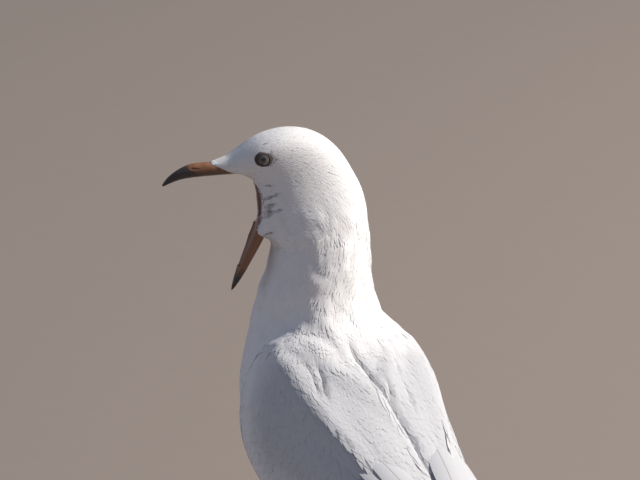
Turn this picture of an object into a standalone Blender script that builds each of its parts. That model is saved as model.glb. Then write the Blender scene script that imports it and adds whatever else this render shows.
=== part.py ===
"""A life-size model of a standing silver gull, its neck stretched up, its head turned to its left and its bill
wide open in a yawn. The bird's trunk faces -Y, its left side is +X and the soles of its feet rest on Z = 0.

The body is one loft through named cross-sections, from the tail coverts to the tip of the upper bill. Thin
plane cuts part it into trunk, neck, head and upper bill. Wings, tail, lower bill, eyes, tongue and legs are
solids of their own that meet it with a small gap."""

import math

import bmesh
import bpy
from mathutils import Matrix, Vector

MM = 0.001
GAP = 0.3 * MM  # between neighbouring pieces
SKIN_CLEARANCE = 1.0 * MM  # between the trunk and what lies along it

HEAD_YAW = math.radians(72)  # how far the head is turned to the bird's left
RING_POINTS = 28
HEAD_ZERO = 315.7  # height that the head's own sections are counted from

# Cross-sections of the body, in millimetres, each as
# (back: forward, height), (belly: forward, height), half width, share of HEAD_YAW that it has turned.
# Forward is counted from the upright axis of the neck.
TRUNK_SECTIONS = (
    ((-152, 141), (-150, 123), 14, 0),
    ((-135, 152), (-125, 109), 27, 0),
    ((-111, 171), (-86, 97), 38, 0),
    ((-84, 191.5), (-42, 97), 44.5, 0),
    ((-57.5, 210), (-4, 112), 48, 0),
    ((-41, 223), (26, 136), 47, 0),
    ((-32, 235), (44.5, 170), 42.5, 0.05),
    ((-30, 247), (45, 205), 35.5, 0.2),
)
NECK_SECTIONS = (
    ((-29.7, 258), (37, 234), 31, 0.5),
    ((-29.0, 268), (30.5, 253), 27.8, 0.8),
    ((-28.0, 278), (27.8, 267), 25.5, 1),
)
# Heights of the head's sections are counted from HEAD_ZERO.
HEAD_SECTIONS = (
    ((-26.8, -27), (31, -43), 24),
    ((-24.2, -16.5), (35.3, -34), 20.5),
    ((-19.6, -7.4), (37, -25), 17.8),
    ((-13.2, 3.4), (37.8, -17), 16),
    ((-5.0, 12.1), (39, -11.5), 15.2),
    ((6.5, 18.2), (41, -8), 14.9),
    ((20, 19.6), (43.5, -6.8), 14.5),
    ((32, 16.9), (45, -6.3), 13.2),
    ((41, 12.5), (45.7, -6.1), 11.3),
    ((49, 7.2), (46.2, -6.0), 9.2),
    ((55.5, 3.4), (46.6, -5.9), 7.6),
)
BILL_SECTIONS = (
    ((60.5, 1.2), (47, -5.8), 6.3),
    ((64.5, 1.3), (54, -6.1), 5.6),
    ((69.5, 1.1), (63, -6.5), 4.9),
    ((75, 0.2), (71.5, -7.0), 4.1),
    ((81.3, -2.8), (79.3, -8.1), 3.0),
    ((86.6, -6.8), (85.3, -10.2), 1.8),
    ((89.8, -11.0), (88.9, -11.8), 0.5),
)
RINGS_PER_SECTION = 2
ROUND = 2.0
TRUNK_SQUARENESS = 2.35  # above 2, the shoulders and flanks fill out their corners
HEAD_SQUARENESS = 2.25  # fills out the cheeks beside the open mouth

EYE_RADIUS = 6.0
EYE_PLACE = (33.6, 4.6, 9.0)  # forward, height from HEAD_ZERO, out from the middle

MOUTH_CENTRE = (38.5, -22.5)  # forward, height from HEAD_ZERO
MOUTH_RADII = (15.0, 8.4, 14.5)  # forward, sideways, up

LOWER_BILL_BASE = (35.2, -40.8)
LOWER_BILL_TIP = (50.4, -73.8)
LOWER_BILL_SECTIONS = (  # along the bill, half width, towards the mouth, towards the chin
    (0.00, 7.8, 4.6, 4.2),
    (0.20, 6.5, 4.1, 3.9),
    (0.42, 5.2, 3.2, 3.3),
    (0.62, 4.0, 2.7, 2.8),
    (0.80, 2.8, 1.9, 2.0),
    (0.93, 1.5, 1.0, 1.1),
    (1.00, 0.4, 0.3, 0.3),
)
LOWER_BILL_POINTS = 20
TROUGH_SHARE = 0.66  # how much of the lower bill is hollowed
TROUGH_WALL = 1.0
TROUGH_LIFT = 2.4  # how far the trough's own middle is towards the mouth
TONGUE_PATH = ((27.6, -27.6), (32.4, -29.2), (36.6, -33.6), (38.1, -41.4), (41.9, -49.8), (46.2, -59.8))
TONGUE_RADII = ((2.0, 1.0), (2.8, 1.3), (3.0, 1.4), (2.8, 1.3), (2.1, 1.0), (0.4, 0.3))  # sideways, across

WING_FRONT, WING_REAR = 6.0, 1.2  # places of the wrist and of the wing's rear, along the body's sections
WING_THICKNESS = 11.0
WING_RINGS = 14
WING_POINTS = 10  # across each face of the wing
WING_TIP = (-243.0, 117.0, 6.0)  # forward, height, left
BLADE_RINGS = 8
BLADE_BOW = (2.5, 0.0, 3.0)  # how far the wing tip's middle is bowed outwards and upwards
BLADE_PLUMP = 0.35

TAIL_ROOT = (-153.0, 133.0)  # forward, height
TAIL_LENGTH = 78.0  # what shows behind the tail coverts
TAIL_SLOPE = math.radians(25)
TAIL_HALF_WIDTH = (14.0, 9.5)  # at the root, and what is added by the tip
TAIL_ARCH = 4.5
TAIL_SHARES = (0, 0.15, 0.35, 0.55, 0.75, 0.9, 1.0)

LEG_SPREAD = 23.0  # from the middle to each leg
KNEE = (-48.0, 118.0)  # forward, height
THIGH_RADII = ((0, 15.0), (0.25, 13.5), (0.5, 9.5), (0.7, 5.8), (0.82, 3.6))  # share from knee to ankle, radius
SHANK_RADII = ((2.0, 2.3), (2.3, 2.8), (2.9, 3.5), (2.3, 2.9), (1.7, 2.3), (2.0, 2.4), (2.1, 2.3))
SHANK_START = 0.825  # share from knee to ankle where the feathered thigh ends
ANKLE = (-66.0, 57.0)  # forward, height
TOE_JOINT = (-55.0, 5.0)
TOES = {"inner": (31.0, 27.0), "middle": (37.0, 0.0), "outer": (34.0, -26.0)}  # length, turn in degrees
FRONT_CLAW = (6.0, 1.05, 0.5)  # length, radius, height of the tip
HIND_CLAW = (2.6, 0.8, 2.6)
HIND_TOE_RADII = (1.6, 1.5, 1.1)
HIND_TOE = ((0.0, 9.0, 0.0), (-5.0, 8.4, -1.0), (-9.0, 6.4, -2.0))  # forward, height, outwards, from the joint
WEB_THICKNESS = 1.0
WEB_SCALLOP = 0.2  # how far the webs' front edges curve in
FOOT_TURN = 6.0  # how far each foot points outwards, in degrees

SIDES = ((1, "left"), (-1, "right"))

COLOURS = {
    "plumage_white": (0.86, 0.87, 0.88),
    "plumage_grey": (0.60, 0.63, 0.67),
    "quill_black": (0.04, 0.04, 0.045),
    "bill_horn": (0.42, 0.17, 0.08),
    "tongue_flesh": (0.62, 0.25, 0.20),
    "eye": (0.55, 0.55, 0.50),
    "leg_skin": (0.40, 0.20, 0.13),
    "claw_black": (0.05, 0.04, 0.04),
}


def clear_scene():
    for obj in list(bpy.data.objects):
        bpy.data.objects.remove(obj)


def material(name, roughness=0.7):
    found = bpy.data.materials.get(name)
    if found:
        return found
    made = bpy.data.materials.new(name)
    made.use_nodes = True
    shader = made.node_tree.nodes["Principled BSDF"]
    shader.inputs["Base Color"].default_value = (*COLOURS[name], 1)
    shader.inputs["Roughness"].default_value = roughness
    shader.inputs["Metallic"].default_value = 0
    return made


def facing(turn):
    """Forward and left unit vectors of a section turned by this angle to the bird's left."""
    return Vector((math.sin(turn), -math.cos(turn), 0)), Vector((math.cos(turn), math.sin(turn), 0))


def smooth_between(table, t):
    """The row at place t of a table of numbers, on a Catmull-Rom curve through its rows."""
    i = min(int(t), len(table) - 2)
    u = t - i
    rows = [table[min(max(i + k, 0), len(table) - 1)] for k in (-1, 0, 1, 2)]
    return [
        0.5 * (2 * b + (c - a) * u + (2 * a - 5 * b + 4 * c - d) * u**2 + (3 * b - a - 3 * c + d) * u**3)
        for a, b, c, d in zip(*rows)
    ]


def body_table():
    rows = [[*back, *belly, half, turned] for back, belly, half, turned in (*TRUNK_SECTIONS, *NECK_SECTIONS)]
    for back, belly, half in (*HEAD_SECTIONS, *BILL_SECTIONS):
        rows.append([back[0], back[1] + HEAD_ZERO, belly[0], belly[1] + HEAD_ZERO, half, 1])
    return rows


BODY = body_table()


def body_frame(t):
    """The body at place t of the table: centre, left, back direction, half width and half depth, in metres."""
    back_f, back_z, belly_f, belly_z, half, turned = smooth_between(BODY, t)
    forward, left = facing(HEAD_YAW * turned)
    top = (forward * back_f + Vector((0, 0, back_z))) * MM
    bottom = (forward * belly_f + Vector((0, 0, belly_z))) * MM
    return (top + bottom) / 2, left, (top - bottom).normalized(), half * MM, (top - bottom).length / 2


def squared(value, squareness):
    """The sine or cosine of a superellipse; a squareness of 2 leaves an ellipse."""
    return math.copysign(abs(value) ** (2 / squareness), value)


def body_point(t, angle, out=0.0):
    """A point on the body, or out metres off it. Angle 0 is the left side and 90 degrees the back."""
    centre, left, back, half, depth = body_frame(t)
    on_trunk = min(1, max(0, NECK_START - t))
    on_head = min(1, max(0, t - HEAD_START)) * min(1, max(0, BILL_START - t))
    squareness = ROUND + (TRUNK_SQUARENESS - ROUND) * on_trunk + (HEAD_SQUARENESS - ROUND) * on_head
    across, up = squared(math.cos(angle), squareness), squared(math.sin(angle), squareness)
    return centre + left * (half + out) * across + back * (depth + out) * up


def body_ring(t, out=0.0):
    return [body_point(t, 2 * math.pi * k / RING_POINTS, out) for k in range(RING_POINTS)]


def head_point(forward, height, left=0.0):
    """A point given in millimetres in the head's own frame, with its height counted from HEAD_ZERO."""
    ahead, aside = facing(HEAD_YAW)
    return (ahead * forward + aside * left + Vector((0, 0, height + HEAD_ZERO))) * MM


def trunk_point(forward, height, left=0.0):
    return Vector((left, -forward, height)) * MM


def loft_mesh(rings):
    """A closed bmesh through rings of equally many points, bridged in order and capped at both ends."""
    mesh = bmesh.new()
    loops = []
    for points in rings:
        verts = [mesh.verts.new(p) for p in points]
        count = len(verts)
        loops.append([mesh.edges.new((verts[k], verts[(k + 1) % count])) for k in range(count)])
    for lower, upper in zip(loops, loops[1:]):
        bmesh.ops.bridge_loops(mesh, edges=lower + upper)
    for edges in (loops[0], loops[-1]):
        bmesh.ops.edgeloop_fill(mesh, edges=edges)
    bmesh.ops.recalc_face_normals(mesh, faces=mesh.faces)
    return mesh


def finish_object(mesh, name, finish, collection="silver_gull"):
    """Makes the bmesh a smooth-shaded object with this material."""
    bmesh.ops.triangulate(mesh, faces=mesh.faces)
    bmesh.ops.recalc_face_normals(mesh, faces=mesh.faces)
    data = bpy.data.meshes.new(name)
    mesh.to_mesh(data)
    mesh.free()
    data.shade_smooth()
    data.set_sharp_from_angle(angle=math.radians(45))
    data.materials.append(material(finish))
    obj = bpy.data.objects.new(name, data)
    bpy.data.collections[collection].objects.link(obj)
    return obj


def as_cutter(mesh, name):
    obj = finish_object(mesh, name, "plumage_white", "cutters")
    obj.hide_render = True
    obj.display_type = "WIRE"
    return obj


def boolean(obj, other, operation="DIFFERENCE"):
    """Applies an exact Boolean and leaves the result as the object's own mesh."""
    modifier = obj.modifiers.new(operation.lower(), "BOOLEAN")
    modifier.operation = operation
    modifier.object = other
    bpy.context.view_layer.update()
    graph = bpy.context.evaluated_depsgraph_get()
    result = bpy.data.meshes.new_from_object(obj.evaluated_get(graph))
    obj.modifiers.clear()
    obj.data = result


def ellipsoid(centre, radii, turn=0.0, segments=20, rings=14):
    mesh = bmesh.new()
    scale = Matrix.Diagonal((*(r * MM for r in radii), 1))
    place = Matrix.Translation(centre) @ Matrix.Rotation(turn, 4, "Z") @ scale
    bmesh.ops.create_uvsphere(mesh, u_segments=segments, v_segments=rings, radius=1, matrix=place)
    return mesh


def path_frames(points, sideways):
    """For each point of a path: the point, the side and the upward unit vector across the path."""
    frames = []
    for k, here in enumerate(points):
        along = (points[min(k + 1, len(points) - 1)] - points[max(k - 1, 0)]).normalized()
        side = (sideways - along * sideways.dot(along)).normalized()
        frames.append((here, side, side.cross(along)))
    return frames


def tube(points, radii, sideways, count=12):
    """A closed bmesh of elliptical rings along a path; each point has (sideways, across) radii in metres."""
    rings = []
    for (here, side, across), (wide, deep) in zip(path_frames(points, sideways), radii):
        turns = (2 * math.pi * k / count for k in range(count))
        rings.append([here + side * wide * math.cos(a) + across * deep * math.sin(a) for a in turns])
    return loft_mesh(rings)


# Places of the cuts between neighbours, along the body's table of sections.
NECK_START = len(TRUNK_SECTIONS) - 1
HEAD_START = NECK_START + len(NECK_SECTIONS)
BILL_START = HEAD_START + len(HEAD_SECTIONS)
BODY_END = len(BODY) - 1


def headward(t):
    """The unit vector across the section at place t, towards the bill."""
    _, left, back, _, _ = body_frame(t)
    return left.cross(back)


def body_length(start, end):
    """A closed bmesh of the body between two sections, pulled in by half a gap where it meets a neighbour."""
    steps = (end - start) * RINGS_PER_SECTION
    places = [start + k / RINGS_PER_SECTION for k in range(steps + 1)]
    rings = [body_ring(t) for t in places]
    if start > 0:
        rings[0] = [p + headward(start) * GAP / 2 for p in rings[0]]
    if end < BODY_END:
        rings[-1] = [p - headward(end) * GAP / 2 for p in rings[-1]]
    return loft_mesh(rings)


def make_body():
    """Trunk, neck, head and upper bill, each a length of the same body."""
    lengths = (
        ("trunk", 0, NECK_START, "plumage_white"),
        ("neck", NECK_START, HEAD_START, "plumage_white"),
        ("head", HEAD_START, BILL_START, "plumage_white"),
        ("bill_upper", BILL_START, BODY_END, "bill_horn"),
    )
    return {name: finish_object(body_length(a, b), name, finish) for name, a, b, finish in lengths}


def make_mouth(head):
    """Hollows the open mouth out of the front of the head."""
    place = head_point(*MOUTH_CENTRE)
    cutter = as_cutter(ellipsoid(place, MOUTH_RADII, HEAD_YAW - math.pi / 2), "mouth_cutter")
    boolean(head, cutter)


def make_eyes(head):
    """An eyeball on each side, in a socket that clears it."""
    forward, height, out = EYE_PLACE
    for side, name in SIDES:
        place = head_point(forward, height, side * out)
        socket = ellipsoid(place, (EYE_RADIUS + GAP / MM,) * 3, HEAD_YAW, 16, 10)
        boolean(head, as_cutter(socket, "socket_" + name))
        finish_object(ellipsoid(place, (EYE_RADIUS,) * 3, HEAD_YAW, 16, 10), "eye_" + name, "eye")


def lower_bill_frame():
    """Base, tip, left and mouthward directions of the lower bill."""
    base, tip = head_point(*LOWER_BILL_BASE), head_point(*LOWER_BILL_TIP)
    ahead, left = facing(HEAD_YAW)
    mouthward = (tip - base).normalized().cross(left)
    if mouthward.dot(ahead) < 0:
        mouthward.negate()
    return base, tip, left, mouthward


def lower_bill_rings(grow=0.0, end=1.0, lift=0.0, lead_in=0.0):
    """Rings of the lower bill up to this share of it, grown and lifted, with one more just before its base."""
    base, tip, left, mouthward = lower_bill_frame()
    rings = []
    for share, half, inner, outer in LOWER_BILL_SECTIONS:
        if share > end:
            break
        centre = base + (tip - base) * share + mouthward * lift
        ring = []
        for k in range(LOWER_BILL_POINTS):
            a = 2 * math.pi * k / LOWER_BILL_POINTS
            reach = inner if math.sin(a) > 0 else outer
            wide, deep = half * MM + grow, reach * MM + grow
            ring.append(centre + left * wide * math.cos(a) + mouthward * deep * math.sin(a))
        rings.append(ring)
    if lead_in:
        rings.insert(0, [p - (tip - base) * lead_in for p in rings[0]])
    return rings


def make_lower_bill(head):
    """The lower bill, hollowed to a trough on the side of the mouth, and the tongue that lies in it."""
    bill = finish_object(loft_mesh(lower_bill_rings()), "bill_lower", "bill_horn")
    trough = lower_bill_rings(-TROUGH_WALL * MM, TROUGH_SHARE, TROUGH_LIFT * MM, 0.2)
    boolean(bill, as_cutter(loft_mesh(trough), "trough_cutter"))
    boolean(head, as_cutter(loft_mesh(lower_bill_rings(GAP, lead_in=0.02)), "bill_seat"))
    points = [head_point(*place) for place in TONGUE_PATH]
    radii = [(wide * MM, deep * MM) for wide, deep in TONGUE_RADII]
    finish_object(tube(points, radii, facing(HEAD_YAW)[1]), "tongue", "tongue_flesh")


def wing_rings():
    """Rings of the folded left wing over the trunk, from the wrist back to the last long inner feathers. Each
    runs from the wing's lower edge over its outer face to its upper edge and back along the trunk."""
    rings = []
    for k in range(WING_RINGS):
        share = k / (WING_RINGS - 1)
        t = WING_FRONT + (WING_REAR - WING_FRONT) * share
        swell = max(0.06, math.sin(math.pi * min(1, share * 2.2) / 2) ** 0.85)
        low = math.radians(8 - 38 * swell + 30 * share**2)
        high = math.radians(20 + 42 * swell - 8 * share)
        thick = WING_THICKNESS * MM * (0.3 + 0.7 * swell) * (1 - 0.7 * share)
        outer, inner = [], []
        for j in range(WING_POINTS):
            u = j / (WING_POINTS - 1)
            angle = low + (high - low) * u
            rise = thick * (0.16 + 0.84 * math.sin(math.pi * u) ** 0.6)
            outer.append(body_point(t, angle, SKIN_CLEARANCE + rise))
            inner.append(body_point(t, angle, SKIN_CLEARANCE))
        rings.append(outer + inner[::-1])
    return rings


def mirrored(rings):
    return [[Vector((-p.x, p.y, p.z)) for p in ring] for ring in rings]


def blade_rings():
    """Rings of the long wing tip of the left wing, which runs on from the wing and over the tail."""
    first = wing_rings()[-1]
    count = len(first)
    root = sum(first, Vector()) / count
    tip = trunk_point(*WING_TIP)
    along = (tip - root).normalized()
    up = Vector((-0.6, 0, 0.8))
    up = (up - along * up.dot(along)).normalized()
    out = along.cross(up)
    if out.x < 0:
        out.negate()
    last = []
    for j in range(count):
        a = math.pi * (0.5 - (j + 0.5) / (count / 2))
        last.append(tip + up * -1.6 * MM * math.sin(a) + out * 0.5 * MM * math.cos(a))
    rings = []
    for k in range(BLADE_RINGS):
        share = k / (BLADE_RINGS - 1)
        bow = Vector(BLADE_BOW) * MM * math.sin(math.pi * share)
        ring = [a.lerp(b, share) + bow for a, b in zip(first, last)]
        middle = sum(ring, Vector()) / count
        plump = 1 + BLADE_PLUMP * math.sin(math.pi * share)
        rings.append([middle + (p - middle) * plump + along * GAP * (1 - share) for p in ring])
    return rings


def make_wings():
    for side, suffix in SIDES:
        arm, blade = wing_rings(), blade_rings()
        if side < 0:
            arm, blade = mirrored(arm), mirrored(blade)
        finish_object(loft_mesh(arm), "wing_" + suffix, "plumage_grey")
        finish_object(loft_mesh(blade), "primaries_" + suffix, "quill_black")


def make_tail():
    """The closed tail: a shallow arched fan."""
    root = trunk_point(*TAIL_ROOT)
    along = Vector((0, math.cos(TAIL_SLOPE), -math.sin(TAIL_SLOPE)))
    rise = Vector((0, math.sin(TAIL_SLOPE), math.cos(TAIL_SLOPE)))
    rings = []
    for share in TAIL_SHARES:
        half = MM * (TAIL_HALF_WIDTH[0] + TAIL_HALF_WIDTH[1] * share**0.8)
        centre = root + along * TAIL_LENGTH * MM * share
        half_thick = 1.2 * MM * (1.4 - share)
        ring = []
        for j in range(9):
            across = -1 + j / 4
            arch = -TAIL_ARCH * MM * across**2
            ring.append(centre + Vector((half * across, 0, 0)) + rise * (arch + half_thick))
        ring += [p - rise * 2 * half_thick for p in reversed(ring)]
        rings.append(ring)
    finish_object(loft_mesh(rings), "tail", "plumage_white")


def joint_on_floor(side):
    """The point of the floor below the joint of the toes; the left foot is side 1."""
    return trunk_point(TOE_JOINT[0], 0, side * LEG_SPREAD)


def foot_mesh(side):
    """The foot's joint, the ends of its toes and the toes' meshes, whose lower halves are below the floor and
    are cut off later."""
    joint = joint_on_floor(side)
    ends = {}
    pieces = []
    for name, (length, turn) in TOES.items():
        angle = math.radians(-side * (turn - FOOT_TURN))
        ahead = Vector((math.sin(angle), -math.cos(angle), 0))
        aside = Vector((math.cos(angle), math.sin(angle), 0))
        ends[name] = joint + ahead * length * MM
        rings = []
        for k in range(8):
            share = k / 7
            knuckle = 0.22 * math.cos(3 * 2 * math.pi * share)
            half = MM * (2.5 - 1.1 * share + knuckle * 0.8)
            tall = MM * (4.2 - 1.9 * share + knuckle)
            centre = joint + ahead * (-2.5 + (length + 2.0) * share) * MM
            ring = [centre + aside * half * math.cos(a) + Vector((0, 0, tall * math.sin(a)))
                    for a in (math.pi * j / 5 for j in range(10))]
            rings.append(ring)
        pieces.append(loft_mesh(rings))
    return joint, ends, pieces


def web_mesh(joint, ends):
    """The webs: a sheet between the toes whose front edges curve in."""
    outline = [joint + Vector((0, 3 * MM, 0))]
    names = ("inner", "middle", "outer")
    for first, second in zip(names, names[1:]):
        a, b = ends[first], ends[second]
        for k in range(7):
            share = k / 6
            point = a.lerp(b, share)
            pull = WEB_SCALLOP * math.sin(math.pi * share)
            outline.append(point.lerp(joint, pull + 0.07))
    mesh = bmesh.new()
    verts = [mesh.verts.new((p.x, p.y, -WEB_THICKNESS * MM / 2)) for p in outline]
    face = mesh.faces.new(verts)
    grown = bmesh.ops.extrude_face_region(mesh, geom=[face])
    lifted = [v for v in grown["geom"] if isinstance(v, bmesh.types.BMVert)]
    bmesh.ops.translate(mesh, verts=lifted, vec=(0, 0, WEB_THICKNESS * MM * 1.5))
    bmesh.ops.recalc_face_normals(mesh, faces=mesh.faces)
    return mesh


def flatten_sole(foot):
    """Cuts off what is below the floor and closes the sole with one flat face."""
    mesh = bmesh.new()
    mesh.from_mesh(foot.data)
    everything = [*mesh.verts, *mesh.edges, *mesh.faces]
    bmesh.ops.bisect_plane(mesh, geom=everything, plane_co=(0, 0, 0), plane_no=(0, 0, -1), clear_outer=True)
    bmesh.ops.holes_fill(mesh, edges=[e for e in mesh.edges if e.is_boundary])
    bmesh.ops.triangulate(mesh, faces=mesh.faces)
    mesh.to_mesh(foot.data)
    mesh.free()


def make_claw(name, root, ahead, sizes):
    """A small curved claw that starts at root and bends down; sizes are its length, radius and tip's height."""
    length, radius, tip_height = (size * MM for size in sizes)
    points, radii = [], []
    for k in range(4):
        share = k / 3
        drop = (root.z - tip_height) * share**2
        points.append(root + ahead * length * share - Vector((0, 0, drop)))
        radii.append((radius * (1 - 0.85 * share),) * 2)
    side = ahead.cross(Vector((0, 0, 1)))
    finish_object(tube(points, radii, side, 8), name, "claw_black")


def make_legs():
    trunk_rings = [body_ring(k / RINGS_PER_SECTION, GAP) for k in range(NECK_START * RINGS_PER_SECTION)]
    belly = as_cutter(loft_mesh(trunk_rings), "belly_cutter")
    for side, suffix in SIDES:
        make_thigh(side, suffix, belly)
        make_shank(side, suffix)
        make_foot(side, suffix)


def make_thigh(side, suffix, belly):
    """The feathered thigh, which starts at the belly's surface."""
    knee = trunk_point(*KNEE, side * (LEG_SPREAD + 1))
    ankle = trunk_point(*ANKLE, side * LEG_SPREAD)
    points = [knee.lerp(ankle, share) for share, _ in THIGH_RADII]
    radii = [(radius * MM, radius * 1.25 * MM) for _, radius in THIGH_RADII]
    thigh = finish_object(tube(points, radii, Vector((1, 0, 0)), 16), "thigh_" + suffix, "plumage_white")
    boolean(thigh, belly)


def make_shank(side, suffix):
    """The bare leg from below the feathers to the toes' joint, with the small raised hind toe and its claw."""
    knee = trunk_point(*KNEE, side * (LEG_SPREAD + 1))
    ankle = trunk_point(*ANKLE, side * LEG_SPREAD)
    joint = trunk_point(*TOE_JOINT, side * LEG_SPREAD)
    sideways = Vector((1, 0, 0))
    upper = [knee.lerp(ankle, share) for share in (SHANK_START, 0.93)]
    lower = [ankle.lerp(joint, share) for share in (0, 0.12, 0.5, 0.88, 1)]
    widths = [(wide * MM, deep * MM) for wide, deep in SHANK_RADII]
    shank = finish_object(tube(upper + lower, widths, sideways, 12), "shank_" + suffix, "leg_skin")
    floor_joint = joint_on_floor(side)
    hind = [floor_joint + Vector((side * out * MM, -ahead * MM, up * MM)) for ahead, up, out in HIND_TOE]
    toe = tube(hind, [(radius * MM,) * 2 for radius in HIND_TOE_RADII], sideways, 10)
    boolean(shank, as_cutter(toe, "hind_toe_" + suffix), "UNION")
    boolean(shank, as_cutter(foot_clearance(floor_joint), "ankle_cut_" + suffix))
    back = (hind[2] - hind[1]).normalized()
    make_claw(f"claw_{suffix}_hind", hind[2] + back * GAP, back, HIND_CLAW)


def make_foot(side, suffix):
    """The webbed foot: three toes joined by their webs, flat on the floor, with a claw on each."""
    joint, ends, toes = foot_mesh(side)
    foot = finish_object(web_mesh(joint, ends), "foot_" + suffix, "leg_skin")
    for k, toe in enumerate(toes):
        boolean(foot, as_cutter(toe, f"toe_{suffix}_{k}"), "UNION")
    flatten_sole(foot)
    for name, end in ends.items():
        ahead = (end - joint).normalized()
        root = end - ahead * GAP / 2 + Vector((0, 0, 1.5 * MM))
        make_claw(f"claw_{suffix}_{name}", root, ahead, FRONT_CLAW)


def foot_clearance(joint):
    """A box that trims the shank just above the foot."""
    mesh = bmesh.new()
    size = Matrix.Diagonal((20 * MM, 20 * MM, 9.2 * MM, 1))
    bmesh.ops.create_cube(mesh, size=1, matrix=Matrix.Translation(joint) @ size)
    return mesh


def stand_on_origin():
    """Moves the whole bird so that the middle of its box's underside is the origin."""
    bpy.context.view_layer.update()
    parts = bpy.data.collections["silver_gull"].objects
    corners = [v.co for obj in parts for v in obj.data.vertices]
    low = Vector(min(c[k] for c in corners) for k in range(3))
    high = Vector(max(c[k] for c in corners) for k in range(3))
    shift = Vector((-(low.x + high.x) / 2, -(low.y + high.y) / 2, -low.z))
    for obj in parts:
        obj.location = shift


def main():
    clear_scene()
    for name in ("silver_gull", "cutters"):
        bpy.context.scene.collection.children.link(bpy.data.collections.new(name))
    body = make_body()
    make_mouth(body["head"])
    make_lower_bill(body["head"])
    make_eyes(body["head"])
    make_wings()
    make_tail()
    make_legs()
    stand_on_origin()


main()
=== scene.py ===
"""The looks of a life-size silver gull that stands and yawns: its skin, plumage, eyes, bill, legs and stage.

Sizes are in millimetres unless a name or a property says otherwise. Places on the head and neck are counted
forward of the upright axis of the neck, above the floor and to the left, with a turn from the trunk's heading
(0) to the head's (1)."""

import functools
import math

import bmesh
import bpy
import numpy as np
from mathutils import Matrix, Vector, noise
from mathutils.bvhtree import BVHTree


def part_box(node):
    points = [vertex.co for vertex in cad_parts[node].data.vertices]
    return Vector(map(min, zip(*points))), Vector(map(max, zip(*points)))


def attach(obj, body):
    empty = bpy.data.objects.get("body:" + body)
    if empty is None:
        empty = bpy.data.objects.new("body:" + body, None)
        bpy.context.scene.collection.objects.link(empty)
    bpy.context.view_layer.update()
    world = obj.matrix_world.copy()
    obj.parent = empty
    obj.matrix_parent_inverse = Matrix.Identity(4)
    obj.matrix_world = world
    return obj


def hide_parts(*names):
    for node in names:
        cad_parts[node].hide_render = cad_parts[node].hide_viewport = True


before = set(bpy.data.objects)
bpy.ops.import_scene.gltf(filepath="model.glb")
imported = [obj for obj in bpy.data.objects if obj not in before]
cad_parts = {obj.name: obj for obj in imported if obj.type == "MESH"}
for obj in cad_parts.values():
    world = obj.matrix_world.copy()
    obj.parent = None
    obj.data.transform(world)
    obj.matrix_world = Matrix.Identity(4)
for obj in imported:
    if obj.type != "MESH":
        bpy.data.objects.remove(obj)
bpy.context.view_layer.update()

bl_info = {
    "name": "Silver Gull",
    "version": (1, 0, 0),
    "blender": (4, 5, 0),
    "location": "View3D > Sidebar > Gull",
    "description": "Builds the skin, plumage, eyes, bill, legs and stage of a standing silver gull",
    "category": "Object",
}

MM = 0.001
UP = Vector((0, 0, 1))
SIDES = ((1, "left"), (-1, "right"))
EYES = {suffix: sum(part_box("eye_" + suffix), Vector()) / 2 for _, suffix in SIDES}
EYE_RADIUS = (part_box("eye_left")[1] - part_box("eye_left")[0]).z / 2
LEFTWARD = (EYES["left"] - EYES["right"]).normalized()
FORWARD = Vector((LEFTWARD.y, -LEFTWARD.x, 0))
HEAD_TURN = math.atan2(LEFTWARD.y, LEFTWARD.x)
EYE_FORWARD, EYE_RISE = 33.6, 4.6  # forward of the neck's axis, and above HEAD_ZERO
AXIS = (EYES["left"] + EYES["right"]) / 2 - FORWARD * EYE_FORWARD * MM
HEAD_ZERO = AXIS.z / MM - EYE_RISE  # the height that a rise on the head is counted from

MOUTH_CENTRE, MOUTH_RADII = (38.5, -22.5), (15.0, 8.4, 14.5)  # forward and rise; ahead, across and up
LID_OVAL = (1.04, 0.87)  # the lids are longer than they are tall
EYELID_REACH = 4.5  # how far from the eye's axis the feathers start
INNER_HEAD, FAR = 6, 99  # nearer to the head's middle than this, a place counts as far from both eyes

# Guide lines of the plumage, from the bill to the tail. Each row is a place (turn, forward, height, left) and
# the plumage there (coat depth, feather length, feather half width).
CROWN_AND_BACK = (
    (1, 62, 315, 0, 0.3, 1.8, 0.40),
    (1, 54, 320, 0, 0.3, 2.2, 0.45),
    (1, 41, 328, 0, 0.5, 3.0, 0.55),
    (1, 20, 335, 0, 0.8, 4.2, 0.65),
    (1, 0, 331, 0, 0.9, 5.2, 0.8),
    (1, -16, 316, 0, 1.1, 6.2, 0.95),
    (1, -25, 299, 0, 1.4, 7.5, 1.1),
    (1, -28, 278, 0, 1.7, 9.0, 1.2),
    (0.5, -30, 258, 0, 1.9, 10.0, 1.3),
    (0.2, -30, 247, 0, 2.0, 11.0, 1.4),
    (0, -33, 234, 0, 2.1, 11.0, 1.5),
    (0, -41, 223, 0, 2.3, 11.5, 1.7),
    (0, -58, 210, 0, 2.5, 13.0, 2.0),
    (0, -84, 191, 0, 2.7, 16.0, 2.8),
    (0, -111, 171, 0, 2.6, 20.0, 3.8),
    (0, -135, 152, 0, 2.2, 24.0, 4.5),
    (0, -153, 141, 0, 1.4, 26.0, 4.5),
)
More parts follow.
